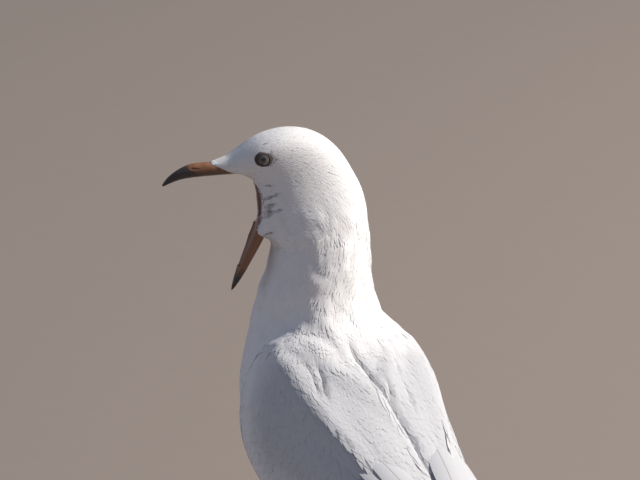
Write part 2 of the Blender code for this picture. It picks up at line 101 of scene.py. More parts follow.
CHEEK_AND_SIDE = (
    (1, 56, 312, 6.5, 0.3, 1.8, 0.40),
    (1, 50, 314, 9, 0.3, 2.0, 0.42),
    (1, 41, 314, 12, 0.4, 2.5, 0.5),
    (1, 26, 313, 15.5, 0.6, 3.6, 0.65),
    (1, 10, 306, 17.5, 0.9, 5.0, 0.8),
    (1, 1, 291, 21, 1.3, 6.5, 1.0),
    (1, 0, 277, 25, 1.7, 8.5, 1.15),
    (0.5, 4, 246, 31, 1.9, 10.0, 1.3),
    (0.2, 7, 226, 36, 2.0, 11.0, 1.5),
    (0, 6, 205, 44, 2.3, 12.0, 1.8),
    (0, -4, 178, 52, 2.4, 13.0, 2.4),
    (0, -34, 158, 56, 2.5, 16.0, 3.4),
    (0, -78, 146, 50, 2.5, 20.0, 4.4),
    (0, -118, 138, 36, 2.4, 24.0, 5.0),
    (0, -150, 132, 16, 1.4, 24.0, 4.5),
)
JAW = (
    (1, 37, 276, 8, 0.4, 3.0, 0.5),
    (1, 31, 283, 13, 0.6, 3.6, 0.6),
    (1, 23, 289, 17, 0.9, 4.6, 0.75),
    (1, 13, 288, 20, 1.2, 6.0, 0.9),
)
THROAT_AND_BELLY = (
    (1, 34, 271, 0, 0.6, 3.6, 0.6),
    (1, 29, 261, 0, 1.2, 6.0, 0.9),
    (0.8, 31, 252, 0, 1.5, 8.0, 1.1),
    (0.5, 37, 234, 0, 1.9, 10.0, 1.3),
    (0.2, 45, 205, 0, 2.3, 12.5, 1.7),
    (0, 44, 170, 0, 2.8, 15.0, 2.3),
    (0, 26, 136, 0, 3.0, 17.0, 3.0),
    (0, -4, 112, 0, 3.0, 18.0, 3.6),
    (0, -42, 97, 0, 3.0, 20.0, 4.0),
    (0, -86, 97, 0, 3.0, 22.0, 4.0),
    (0, -125, 109, 0, 2.4, 24.0, 4.0),
    (0, -151, 123, 0, 1.4, 24.0, 4.0),
)
THIGH = (
    (0, -42, 112, 26, 2.4, 14.0, 2.6),
    (0, -50, 98, 26, 1.7, 10.0, 2.0),
    (0, -58, 84, 24.5, 1.0, 7.0, 1.4),
    (0, -65, 70, 23, 0.4, 4.5, 0.9),
)
GUIDE_STEPS = 5  # samples between two rows of a guide line
GUIDE_REACH = 3 * MM  # a place nearer than this to a guide line has that line's plumage
GUIDE_BLOCK = 20000  # places looked up at once

GROUPS = {  # the nodes of flesh, and the part of the coat that each carries
    "trunk": "trunk",
    "neck": "neck",
    "head": "head",
    "thigh_left": "thigh",
    "thigh_right": "thigh",
    "wing_left": "wing",
    "wing_right": "wing",
}
FLESH = tuple(GROUPS)


# Places and tables


def place(turn, forward, height, left=0.0):
    """A point from its turn and its millimetres forward, above the floor and to the left."""
    heading = HEAD_TURN * turn
    ahead = Vector((math.sin(heading), -math.cos(heading), 0))
    aside = Vector((math.cos(heading), math.sin(heading), 0))
    return Vector((AXIS.x, AXIS.y, 0)) + (ahead * forward + aside * left + UP * height) * MM


def head_place(forward, rise, left=0.0):
    return place(1, forward, HEAD_ZERO + rise, left)


def smooth_line(rows, steps):
    """Rows of numbers with more between them, on a Catmull-Rom curve."""
    rows = np.asarray(rows, float)
    padded = np.vstack([rows[:1], rows, rows[-1:]])
    out = []
    for k in range(len(rows) - 1):
        a, b, c, d = padded[k:k + 4]
        for u in np.arange(steps) / steps:
            curve = 2 * b + (c - a) * u + (2 * a - 5 * b + 4 * c - d) * u**2 + (3 * b - a - 3 * c + d) * u**3
            out.append(curve / 2)
    out.append(rows[-1])
    return np.array(out)


def unit(vectors):
    return vectors / np.maximum(np.linalg.norm(vectors, axis=-1, keepdims=True), 1e-12)


def smoothstep(low, high, values):
    share = np.clip((values - low) / (high - low), 0, 1)
    return share * share * (3 - 2 * share)


def guide_samples():
    """Places, tailward directions and plumage values of all guide lines."""
    places, directions, values = [], [], []
    lines = [(CROWN_AND_BACK, 1), (THROAT_AND_BELLY, 1)]
    lines += [(line, side) for line in (CHEEK_AND_SIDE, JAW, THIGH) for side in (1, -1)]
    for line, side in lines:
        rows = [(*place(turn, forward, height, left * side), *plumage)
                for turn, forward, height, left, *plumage in line]
        fine = smooth_line(rows, GUIDE_STEPS)
        places.append(fine[:, :3])
        directions.append(unit(np.gradient(fine[:, :3], axis=0)))
        values.append(fine[:, 3:])
    return np.vstack(places), np.vstack(directions), np.vstack(values)


GUIDE_PLACES, GUIDE_DIRECTIONS, GUIDE_VALUES = guide_samples()


def plumage_at(points):
    """The plumage at these points: its direction (N, 3), and its depth, length and half width in metres."""
    directions, values = np.empty((len(points), 3)), np.empty((len(points), 3))
    for start in range(0, len(points), GUIDE_BLOCK):
        part = slice(start, start + GUIDE_BLOCK)
        gaps = ((points[part, None] - GUIDE_PLACES[None]) ** 2).sum(2)
        weights = 1 / (gaps + GUIDE_REACH**2) ** 2
        weights /= weights.sum(1, keepdims=True)
        directions[part] = weights @ GUIDE_DIRECTIONS
        values[part] = weights @ GUIDE_VALUES
    return unit(directions), *(values.T * MM)


def ripple(points, wavelength, seed):
    """Smooth noise from -1 to 1 at these points."""
    shift = Vector((seed * 3.1, seed * 1.7, seed * 2.3))
    return np.array([noise.noise(Vector(p) / wavelength + shift) for p in points])


# Meshes and pieces


def mesh_arrays(mesh):
    """Vertex places, vertex normals and triangles of a mesh."""
    places = np.empty(len(mesh.vertices) * 3, np.float32)
    mesh.vertices.foreach_get("co", places)
    normals = np.empty(len(mesh.vertices) * 3, np.float32)
    mesh.vertex_normals.foreach_get("vector", normals)
    mesh.calc_loop_triangles()
    triangles = np.empty(len(mesh.loop_triangles) * 3, np.int32)
    mesh.loop_triangles.foreach_get("vertices", triangles)
    return places.reshape(-1, 3).astype(float), normals.reshape(-1, 3).astype(float), triangles.reshape(-1, 3)


def with_modifiers(mesh, *settings):
    """The mesh after these modifiers, each given as its type and a dictionary of its settings."""
    helper = bpy.data.objects.new("helper", mesh)
    bpy.context.scene.collection.objects.link(helper)
    for kind, values in settings:
        modifier = helper.modifiers.new(kind.lower(), kind)
        for name, value in values.items():
            setattr(modifier, name, value)
    graph = bpy.context.evaluated_depsgraph_get()
    made = bpy.data.meshes.new_from_object(helper.evaluated_get(graph))
    bpy.data.objects.remove(helper)
    return made


def node_bmesh(*names):
    """A merged copy of these CAD nodes."""
    copy = bmesh.new()
    for name in names:
        copy.from_mesh(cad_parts[name].data)
    bmesh.ops.remove_doubles(copy, verts=copy.verts, dist=0.00001)
    return copy


def to_mesh(copy, name):
    mesh = bpy.data.meshes.new(name)
    copy.to_mesh(mesh)
    copy.free()
    return mesh


def piece(name, mesh, material, replaced=()):
    """The finished mesh as an object of the model that rides on its one body."""
    mesh.name = name
    mesh.materials.clear()
    mesh.materials.append(material)
    mesh.shade_smooth()
    obj = bpy.data.objects.new(name, mesh)
    bpy.context.scene.collection.objects.link(obj)
    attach(obj, "root")
    if replaced:
        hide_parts(*replaced)
    return obj


def surface_of(mesh):
    places, normals, triangles = mesh_arrays(mesh)
    return BVHTree.FromPolygons(places.tolist(), triangles.tolist()), places, normals, triangles


def refined(voxel, smoothing, *names):
    """A fine, smooth copy of these CAD nodes."""
    return with_modifiers(
        to_mesh(node_bmesh(*names), names[0]),
        ("REMESH", {"mode": "VOXEL", "voxel_size": voxel}),
        ("SMOOTH", {"factor": 0.5, "iterations": smoothing}),
    )


def move_points(mesh, places):
    mesh.vertices.foreach_set("co", places.astype(np.float32).ravel())
    mesh.update()


def cut_cylinder(segments, cuts):
    """A closed cylinder of radius 1 and height 1 along Z, cut across, and the places of its vertices."""
    shape = bmesh.new()
    bmesh.ops.create_cone(shape, cap_ends=True, segments=segments, radius1=1, radius2=1, depth=1)
    lengthways = [e for e in shape.edges if abs((e.verts[0].co - e.verts[1].co).z) > 0.5]
    bmesh.ops.subdivide_edges(shape, edges=lengthways, cuts=cuts)
    return shape, np.array([v.co for v in shape.verts])


def unit_tube(segments, cuts):
    """A closed tube of radius 1 along Y from 0 to 1: its points (across, along, rise) and its faces."""
    shape, co = cut_cylinder(segments, cuts)
    turn = math.pi / 2 - math.atan2(co[0, 1], co[0, 0])
    across = co[:, 0] * math.cos(turn) - co[:, 1] * math.sin(turn)
    rise = co[:, 0] * math.sin(turn) + co[:, 1] * math.cos(turn)
    faces = [[v.index for v in f.verts] for f in shape.faces]
    shape.free()
    return across, 0.5 - co[:, 2], rise, faces


def along_line(line, share):
    """The place at this share of a line of points, for an array of shares."""
    position = np.clip(share, 0, 1) * (len(line) - 1)
    low = np.minimum(position.astype(int), len(line) - 2)
    part = (position - low)[:, None]
    return line[low] * (1 - part) + line[low + 1] * part


def tube_mesh(name, line, radii, facing, segments=12):
    """A closed tube along a line, whose section starts from the facing direction."""
    line = np.asarray(line, float)
    shape, co = cut_cylinder(segments, len(line) - 2)
    share = 0.5 - co[:, 2]
    tangents = unit(np.gradient(line, axis=0))
    normals = np.tile(np.array(facing, float), (len(line), 1))
    normals = unit(normals - tangents * (normals * tangents).sum(1, keepdims=True))
    sides = np.cross(tangents, normals)
    size = np.interp(share, np.linspace(0, 1, len(radii)), radii)[:, None]
    places = along_line(line, share) + along_line(sides, share) * co[:, :1] * size
    places += along_line(normals, share) * co[:, 1:2] * size
    for vert, spot in zip(shape.verts, places):
        vert.co = spot
    bmesh.ops.recalc_face_normals(shape, faces=shape.faces)
    return to_mesh(shape, name)


# Shader building


def node(tree, kind, inputs=(), **settings):
    """A shader node with these settings; an input is a value or the socket that feeds it."""
    made = tree.nodes.new(kind)
    for name, value in settings.items():
        setattr(made, name, value)
    for name, value in dict(inputs).items():
        if isinstance(value, bpy.types.NodeSocket):
            tree.links.new(value, made.inputs[name])
        else:
            made.inputs[name].default_value = value
    return made


def maths(tree, operation, first, second=0.0, third=0.0):
    made = node(tree, "ShaderNodeMath", {0: first, 1: second, 2: third}, operation=operation)
    return made.outputs[0]


def mixed_colour(tree, share, first, second):
    """The second colour laid over the first by this share."""
    made = node(tree, "ShaderNodeMix", {0: share, 6: first, 7: second}, data_type="RGBA")
    return made.outputs[2]


def scaled(tint, share):
    """A darker or paler colour, with its alpha."""
    return (*(c * share for c in tint), 1)


def ramp(tree, value, *stops):
    """A colour ramp through stops of (position, grey level)."""
    made = node(tree, "ShaderNodeValToRGB", {0: value})
    made.color_ramp.elements[0].position, made.color_ramp.elements[1].position = stops[0][0], stops[-1][0]
    for position, _ in stops[1:-1]:
        made.color_ramp.elements.new(position)
    for element, (_, level) in zip(made.color_ramp.elements, stops):
        element.color = (level, level, level, 1)
    return made.outputs[0]


def attribute(tree, name):
    return node(tree, "ShaderNodeAttribute", attribute_name=name).outputs["Fac"]


def object_places(tree):
    return node(tree, "ShaderNodeTexCoord").outputs["Object"]


def new_material(name, **values):
    """A material whose Principled BSDF has these plain socket values, with underscores for spaces."""
    material = bpy.data.materials.new(name)
    material.use_nodes = True
    shader = material.node_tree.nodes["Principled BSDF"]
    for socket, value in values.items():
        shader.inputs[socket.replace("_", " ")].default_value = value
    return material, material.node_tree, shader


def bump(tree, shader, height, distance, strength=1.0):
    """Feeds the shader's normal from a height that goes from 0 to 1 over this distance in metres."""
    made = node(tree, "ShaderNodeBump", {"Height": height, "Distance": distance, "Strength": strength})
    tree.links.new(made.outputs[0], shader.inputs["Normal"])


def mottled_material(name, size, first, second, relief, **values):
    """A material that varies between two colours in spots of this size, with bumps as high as the relief."""
    material, tree, shader = new_material(name, **values)
    spots = grain(tree, size)
    tree.links.new(mixed_colour(tree, spots, first, second), shader.inputs["Base Color"])
    bump(tree, shader, spots, relief)
    return material


def new_group(name, inputs, outputs):
    """A node group with (name, type, default) inputs and (name, type) outputs, and its two end nodes."""
    group = bpy.data.node_groups.new(name, "ShaderNodeTree")
    for title, kind, default in inputs:
        socket = group.interface.new_socket(title, in_out="INPUT", socket_type="NodeSocket" + kind)
        if default is not None:
            socket.default_value = default
    for title, kind in outputs:
        group.interface.new_socket(title, in_out="OUTPUT", socket_type="NodeSocket" + kind)
    return group, group.nodes.new("NodeGroupInput"), group.nodes.new("NodeGroupOutput")


def use_group(tree, group, inputs):
    return node(tree, "ShaderNodeGroup", inputs, node_tree=group)


def grain_group():
    """Fine grain: a value about 0.5 that varies over the places, in spots of about Size."""
    found = bpy.data.node_groups.get("fine grain")
    if found:
        return found
    group, start, end = new_group(
        "fine grain",
        [("Places", "Vector", None), ("Size", "Float", MM)],
        [("Value", "Float")],
    )
    sources = {0: start.outputs["Places"], "Scale": maths(group, "DIVIDE", 1.0, start.outputs["Size"])}
    placed = node(group, "ShaderNodeVectorMath", sources, operation="SCALE")
    texture = node(group, "ShaderNodeTexNoise", {"Vector": placed.outputs[0], "Scale": 1.0, "Detail": 4.0})
    group.links.new(texture.outputs[0], end.inputs["Value"])
    return group


def grain(tree, size):
    """The fine grain of this size on the object's own places."""
    return use_group(tree, grain_group(), {"Places": object_places(tree), "Size": size}).outputs[0]


def vane_group():
    """The look of one feather from its own map, U across and V along: a shaft and slanting barbs."""
    found = bpy.data.node_groups.get("vane")
    if found:
        return found
    group, start, end = new_group(
        "vane",
        [("Map", "Vector", None), ("Barbs", "Float", 24.0), ("Slant", "Float", 0.9)],
        [("Height", "Float"), ("Shaft", "Float"), ("Along", "Float")],
    )
    parts = node(group, "ShaderNodeSeparateXYZ", {0: start.outputs["Map"]})
    across = maths(group, "ABSOLUTE", maths(group, "SUBTRACT", parts.outputs[0], 0.5))
    slant = maths(group, "MULTIPLY", across, start.outputs["Slant"])
    slanted = maths(group, "SUBTRACT", parts.outputs[1], slant)
    turns = maths(group, "MULTIPLY", start.outputs["Barbs"], 2 * math.pi)
    phase = maths(group, "MULTIPLY", slanted, turns)
    wave = maths(group, "MULTIPLY_ADD", maths(group, "SINE", phase), 0.25, 0.5)
    shaft = maths(group, "SUBTRACT", 1.0, maths(group, "MULTIPLY", across, 30.0))
    shaft = maths(group, "MAXIMUM", shaft, 0.0)
    group.links.new(maths(group, "ADD", wave, shaft), end.inputs["Height"])
    group.links.new(shaft, end.inputs["Shaft"])
    group.links.new(parts.outputs[1], end.inputs["Along"])
    return group


def vane_map(tree):
    return node(tree, "ShaderNodeUVMap", uv_map="vane").outputs[0]


# Settings that a user would change


def colour(name, description, default):
    return bpy.props.FloatVectorProperty(
        name=name, description=description, default=default, subtype="COLOR", size=3, min=0, max=1)


def length(name, description, default):
    return bpy.props.FloatProperty(name=name, description=description, default=default, min=0, unit="LENGTH")


class GullPlumage(bpy.types.PropertyGroup):
    white: colour("White", "Head, neck, breast, belly and tail", (0.87, 0.87, 0.875))
    grey: colour("Grey", "Back and wings", (0.56, 0.57, 0.595))
    black: colour("Black", "Outer flight feathers", (0.018, 0.018, 0.021))
    density: bpy.props.FloatProperty(
        name="Density", description="How many feathers there are, against the usual",
        default=1.0, min=0.1, max=1.5)
    ruffle: length("Ruffle", "How far ruffled feathers stand off the coat", 0.6 * MM)


class GullHead(bpy.types.PropertyGroup):
    iris: colour("Iris", "Iris of the eye", (0.115, 0.105, 0.09))
    eyelid: colour("Eyelid", "Bare skin of the lids", (0.05, 0.041, 0.037))
    horn: colour("Horn", "Bill near its base", (0.185, 0.085, 0.042))
    horn_tip: colour("Horn tip", "Dark ends of the bill", (0.048, 0.040, 0.036))
    mouth: colour("Mouth", "Flesh inside the mouth, and the tongue", (0.42, 0.22, 0.18))
    gape: colour("Gape", "Bare edge of the gape", (0.60, 0.50, 0.47))


class GullLegs(bpy.types.PropertyGroup):
    skin: colour("Leg skin", "Legs, toes and webs", (0.17, 0.075, 0.045))
    claw: colour("Claw", "Claws", (0.02, 0.016, 0.015))
    scutes: length("Scutes", "Length of one of the leg's plates", 2.4 * MM)


class GullStage(bpy.types.PropertyGroup):
    floor: colour("Floor", "Pale floor", (0.27, 0.23, 0.202))
    sky: colour("Sky", "Light from all round", (0.71, 0.77, 1.0))
    sky_strength: bpy.props.FloatProperty(
        name="Sky strength", description="Strength of the light from all round", default=0.24, min=0)
    key_power: bpy.props.FloatProperty(
        name="Key power", description="Power of the lamp on the right", default=600.0, min=0, unit="POWER")
    fill_power: bpy.props.FloatProperty(
        name="Fill power", description="Power of the large lamp on the left",
        default=21.0, min=0, unit="POWER")


# Skin


SKIN_VOXEL = 1.3 * MM
UNWRAP_VOXEL = 4.0 * MM
CLOSING = 0.6 * MM  # how far the solids are swollen so that the skin bridges their gaps
MOUTH_DEPTH = 0.2 * MM  # how deep the wall of the mouth lies under the solids

# Here and below, a pair of numbers is where an effect starts and where it is full, counted as its name says:
# forward, left, height, rise above HEAD_ZERO, or inside the mantle's edge.

# Rounds of smoothing
SMOOTHING = 16
HEAD_SMOOTHING, HEAD_HEIGHT = 8, 262  # above this height
RIM_SMOOTHING, RIM_REACH = 2, 1.35  # up to this reach from the mouth
MANTLE_SMOOTHING = 110  # smooths the step between the back and the wings under the mantle's feathers
SMOOTH_INSIDE, SMOOTH_HEIGHT = (0, 9), (150, 165)
WRIST_SHARE = 0.6  # of that on the wings' wrists
WRIST_FORWARD, WRIST_LEFT, WRIST_HEIGHT = (-34, -16), (30, 38), (214, 206)

# Flesh round the bill and the eyes
JAW_PLACE, JAW_RADII = (31.5, -38.5), (6.0, 9.0, 5.0)  # flesh that the lower bill grows from
JAW_SIDE, JAW_SIDE_PLACE = 7.2, (32.3, -38.3)  # feathers beside the lower bill
JAW_SIDE_RADII = (5.6, 3.6, 5.0)
BROW_TIP, BROW_ROOT = (63.0, 0.4), (47.0, -5.4)  # the lower edge of the feathers over the bill: forward, rise
BROW_PROUD = 0.75 * MM
SOCKET_RADIUS = 6.5  # the flesh round the eyeball
EYE_OPENING, EYE_SINK = (4.3, 3.4), 1.2 * MM  # inside the lids, the skin is sunk behind the eyeball

# The wall of the mouth, by its reach from the mouth's middle
MOUTH_WALL, MOUTH_LIP = (1.05, 1.0), (1.2, 1.12)  # the lip is bare only where it faces the middle
FACING_IN = (0.0, -0.03)  # change of reach over a millimetre off the surface
MOUTH_TO_COAT = (1.0, 1.25)  # from the wall's depth to the coat's

# The mouth's floor between the walls of the lower bill, and the pale edge of the gape's skin
TROUGH_LEFT, TROUGH_FORWARD = (7.0, 5.4), (31.5, 33.5)
TROUGH_LOW, TROUGH_HIGH = (-46, -44), (-28, -31)  # rise
RIM_FORWARD, RIM_RISE = (33, 37), (-15, -21)

# The relief of the back and the neck
MANTLE_FRONT = (  # left, forward
    (0, -56), (6, -52), (14, -43), (22, -36), (30, -29), (38, -15), (50, -7), (60, -2),
)
MANTLE_SIDE = (  # forward, left
    (-170, 8), (-150, 12), (-110, 28), (-75, 40), (-56, 46), (-32, 46.5), (-14, 43), (-4, 38), (10, 30),
)
FRONT_SLANT = 0.85  # the front edge runs across at a slant, so it is nearer than it is ahead
MANTLE_RELIEF = (  # inside the mantle's edge, rise of the coat
    (-34, 0), (-16, -0.6), (-5, -1.8), (-1.5, -0.6), (3, 1.8), (7, 2.3), (14, 1.7), (30, 0.3), (40, 0),
)
BACK_FACING, BACK_HEIGHT = (-0.15, 0.25), (244, 232)  # up share of the surface's normal, height
EDGE_FORWARD = (-150, -120)
NAPE_LEFT, NAPE_INSIDE = (10, 26), (14, 5)  # where the edge melts into the nape
FURROW = (1.9, 2.3)  # depth and half width of the crease down the middle of the mantle
FURROW_LINE = ((-95, -6), (-72, -2.5), (-58, 0.7), (-48, 4.0))  # forward, left
VALLEY = (3.0, 36.0)  # depth and half width of the valley that the crease lies in
CREASE_ROUNDING = 4.0  # radius of the valley's bottom
VALLEY_FRONT, VALLEY_REAR = (-38, -54), (-135, -105)
BACK_PARTINGS = (  # between groups of scapulars: forward start and end, left start and end, half width, depth
    (-43, -61, 33.0, 32.5, 1.6, 1.2),
    (-47, -64, 27.0, 30.0, 1.8, 1.4),
    (-64, -77, -8.0, -7.0, 1.7, 1.2),
    (-52, -61, -20.0, -19.5, 0.9, 0.6),
    (-66, -79, -19.5, -18.0, 1.0, 0.7),
)
PARTING_WAVE, PARTING_TURNS = 0.8, 5.0  # how far a parting winds, and how often
PARTING_BODY, PARTING_FADE = 0.3, 20.0  # half of its share that is at full depth, and how fast its ends fade
NECK_LUMPS = 0.7 * MM  # height of the waves in the neck's loose coat
LUMPS_LOW, LUMPS_HIGH = (205, 225), (300, 285)  # height
LUMPS_COARSE, LUMPS_FINE, FINE_SHARE = 11 * MM, 5 * MM, 0.6

# Where the plumage is grey
GREY_FRONT = ((0, -41), (14, -38), (24, -34), (30, -31), (38, -26), (50, -20), (60, -14))  # left, forward
GREY_FADE, GREY_RUMP = (-13, 13), (-141, -134)  # behind that front, forward
GREY_FACING = (-0.35, 0.1)  # up share of the surface's normal
GREY_LEAN = 0.2  # how much its rearward share adds to that
GREY_UNEVEN, GREY_SPAN = 2.2, 9 * MM  # how far the edges wind, and over what length


def in_head_frame(points):
    """Millimetres forward of the neck's axis, to the left of it and above HEAD_ZERO."""
    away = points - np.array(AXIS)
    rise = points[:, 2] / MM - HEAD_ZERO
    return away @ np.array(FORWARD) / MM, away @ np.array(LEFTWARD) / MM, rise


def in_trunk_frame(points):
    """Millimetres forward of the neck's axis, to the left of the middle and above the floor."""
    return (AXIS.y - points[:, 1]) / MM, (points[:, 0] - AXIS.x) / MM, points[:, 2] / MM


def mouth_reach(points):
    """How far out these points are from the middle of the open mouth: 1 is its wall."""
    forward, left, rise = in_head_frame(points)
    long, wide, tall = MOUTH_RADII
    ahead, up = (forward - MOUTH_CENTRE[0]) / long, (rise - MOUTH_CENTRE[1]) / tall
    return np.sqrt(ahead**2 + (left / wide) ** 2 + up**2)


def in_mouth(points, normals):
    """1 on the wall of the mouth, where the surface faces its middle, and 0 on the outside of the head."""
    reach = mouth_reach(points)
    facing = smoothstep(*FACING_IN, mouth_reach(points + normals * MM) - reach)
    return np.maximum(smoothstep(*MOUTH_WALL, reach), facing * smoothstep(*MOUTH_LIP, reach))


def eye_reach(points):
    """Millimetres from the axis of the nearer eye, counted in its oval lids."""
    forward, left, rise = in_head_frame(points)
    reach = np.hypot((forward - EYE_FORWARD) / LID_OVAL[0], (rise - EYE_RISE) / LID_OVAL[1])
    return np.where(np.abs(left) > INNER_HEAD, reach, FAR)


def inside_mantle(points):
    """Millimetres inside the edge of the mantle, whose feathers fall over the wings, seen from above."""
    forward, left, _ = in_trunk_frame(points)
    aside = np.abs(left)
    front = np.interp(aside, *zip(*MANTLE_FRONT)) - forward
    side = np.interp(forward, *zip(*MANTLE_SIDE)) - aside
    return np.minimum(front * FRONT_SLANT, side)


def back_partings(points):
    """How far these points are sunk in the short partings of the back, in millimetres."""
    forward, left, _ = in_trunk_frame(points)
    sunk = np.zeros(len(points))
    for start, end, left_start, left_end, half_width, depth in BACK_PARTINGS:
        share = (forward - start) / (end - start)
        aside = left - left_start - (left_end - left_start) * share
        across = (aside + np.sin(share * PARTING_TURNS) * PARTING_WAVE) / half_width
        beyond = np.maximum(np.abs(share - 0.5) - PARTING_BODY, 0)
        sunk = np.maximum(sunk, depth * np.exp(-(across**2) - beyond**2 * PARTING_FADE))
    return sunk


def back_relief(points, normals):
    """Rise and fall of the back's coat, in metres: the mantle's edge and the valley down its middle."""
    forward, left, height = in_trunk_frame(points)
    above = smoothstep(*BACK_FACING, normals[:, 2]) * smoothstep(*BACK_HEIGHT, height)
    inside = inside_mantle(points)
    near_front = (1 - smoothstep(*NAPE_LEFT, np.abs(left))) * smoothstep(*NAPE_INSIDE, inside)
    edge = np.interp(inside, *zip(*MANTLE_RELIEF)) * smoothstep(*EDGE_FORWARD, forward) * (1 - near_front)
    away = np.abs(left - np.interp(forward, *zip(*FURROW_LINE)))
    along = smoothstep(*VALLEY_FRONT, forward) * smoothstep(*VALLEY_REAR, forward)
    rounded = np.hypot(away, CREASE_ROUNDING) - CREASE_ROUNDING
    valley = VALLEY[0] * np.maximum(0, 1 - rounded / VALLEY[1])
    valley += FURROW[0] * np.exp(-((away / FURROW[1]) ** 2))
    return above * (edge - valley * along - back_partings(points)) * MM


def neck_lumps(points):
    """Soft waves of the neck's loose coat, in metres."""
    height = points[:, 2] / MM
    loose = smoothstep(*LUMPS_LOW, height) * smoothstep(*LUMPS_HIGH, height)
    waves = ripple(points, LUMPS_COARSE, 8) + FINE_SHARE * ripple(points * (1, 1, 0.6), LUMPS_FINE, 9)
    return NECK_LUMPS * loose * waves


def grey_share(points, normals):
    """0 where the plumage is white and 1 where it is grey."""
    forward, left, _ = in_trunk_frame(points)
    uneven = ripple(points, GREY_SPAN, 5) * GREY_UNEVEN
    front = np.interp(np.abs(left), *zip(*GREY_FRONT)) - forward + uneven
    rump = smoothstep(*GREY_RUMP, forward + uneven)
    above = smoothstep(*GREY_FACING, normals[:, 2] + normals[:, 1] * GREY_LEAN)
    return smoothstep(*GREY_FADE, front) * rump * above


def group_surface():
    """The search tree of the CAD's flesh, and the group of each of its triangles."""
    places, triangles, groups = [], [], []
    count = 0
    for name, group in GROUPS.items():
        points, _, corners = mesh_arrays(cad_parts[name].data)
        places.append(points)
        triangles.append(corners + count)
        groups += [group] * len(corners)
        count += len(points)
    tree = BVHTree.FromPolygons(np.vstack(places).tolist(), np.vstack(triangles).tolist())
    return tree, np.array(groups)


def add_brow(copy):
    """Adds the feathered wedge that runs out over the base of the upper bill."""
    brow = node_bmesh("bill_upper")
    front, rear = head_place(*BROW_TIP), head_place(*BROW_ROOT)
    under = (rear - front).cross(LEFTWARD).normalized()
    for outward in (under, FORWARD):
        geom = [*brow.verts, *brow.edges, *brow.faces]
        cut = bmesh.ops.bisect_plane(brow, geom=geom, plane_co=front, plane_no=outward, clear_outer=True)
        rim = [item for item in cut["geom_cut"] if isinstance(item, bmesh.types.BMEdge)]
        bmesh.ops.holes_fill(brow, edges=rim)
    brow.normal_update()
    for vert in brow.verts:
        vert.co += vert.normal * (CLOSING + BROW_PROUD)
    copy.from_mesh(to_mesh(brow, "brow"))


def add_ellipsoid(copy, middle, radii):
    """Adds an ellipsoid of flesh with these radii along the head, across it and up, in millimetres."""
    verts = bmesh.ops.create_icosphere(copy, subdivisions=3, radius=MM)["verts"]
    bmesh.ops.scale(copy, verts=verts, vec=radii)
    bmesh.ops.rotate(copy, verts=verts, matrix=Matrix.Rotation(HEAD_TURN - math.pi / 2, 3, "Z"))
    bmesh.ops.translate(copy, verts=verts, vec=middle)


def smoothed_flesh():
    """One smooth closed surface round all the nodes of flesh, a little outside them."""
    copy = node_bmesh(*FLESH)
    copy.normal_update()
    for vert in copy.verts:
        vert.co += vert.normal * CLOSING
    add_ellipsoid(copy, head_place(*JAW_PLACE), JAW_RADII)
    for left in (-JAW_SIDE, JAW_SIDE):
        add_ellipsoid(copy, head_place(*JAW_SIDE_PLACE, left), JAW_SIDE_RADII)
    for _, suffix in SIDES:
        add_ellipsoid(copy, EYES[suffix], (SOCKET_RADIUS,) * 3)
    add_brow(copy)
    raw = with_modifiers(to_mesh(copy, "swollen"), ("REMESH", {"mode": "VOXEL", "voxel_size": SKIN_VOXEL}))
    points = mesh_arrays(raw)[0]
    fine = bmesh.new()
    fine.from_mesh(raw)
    fine.verts.ensure_lookup_table()
    forward, left, height = in_trunk_frame(points)
    times = np.where(height > HEAD_HEIGHT, HEAD_SMOOTHING, SMOOTHING)
    times = np.where(mouth_reach(points) < RIM_REACH, RIM_SMOOTHING, times)
    on_back = smoothstep(*SMOOTH_INSIDE, inside_mantle(points)) * smoothstep(*SMOOTH_HEIGHT, height)
    on_wrist = smoothstep(*WRIST_FORWARD, forward) * smoothstep(*WRIST_LEFT, np.abs(left))
    on_wrist *= smoothstep(*WRIST_HEIGHT, height)
    times = np.maximum(times, MANTLE_SMOOTHING * np.maximum(on_back, WRIST_SHARE * on_wrist))
    for turn in range(MANTLE_SMOOTHING):
        chosen = [fine.verts[k] for k in np.nonzero(times > turn)[0].tolist()]
        bmesh.ops.smooth_vert(
            fine, verts=chosen, factor=0.5, use_axis_x=True, use_axis_y=True, use_axis_z=True,
        )
    return to_mesh(fine, "flesh")


def in_trough(points):
    """1 on the skin in the mouth's floor, between the walls of the lower bill."""
    forward, left, rise = in_head_frame(points)
    middle = smoothstep(*TROUGH_LEFT, np.abs(left)) * smoothstep(*TROUGH_FORWARD, forward)
    return middle * smoothstep(*TROUGH_LOW, rise) * smoothstep(*TROUGH_HIGH, rise)


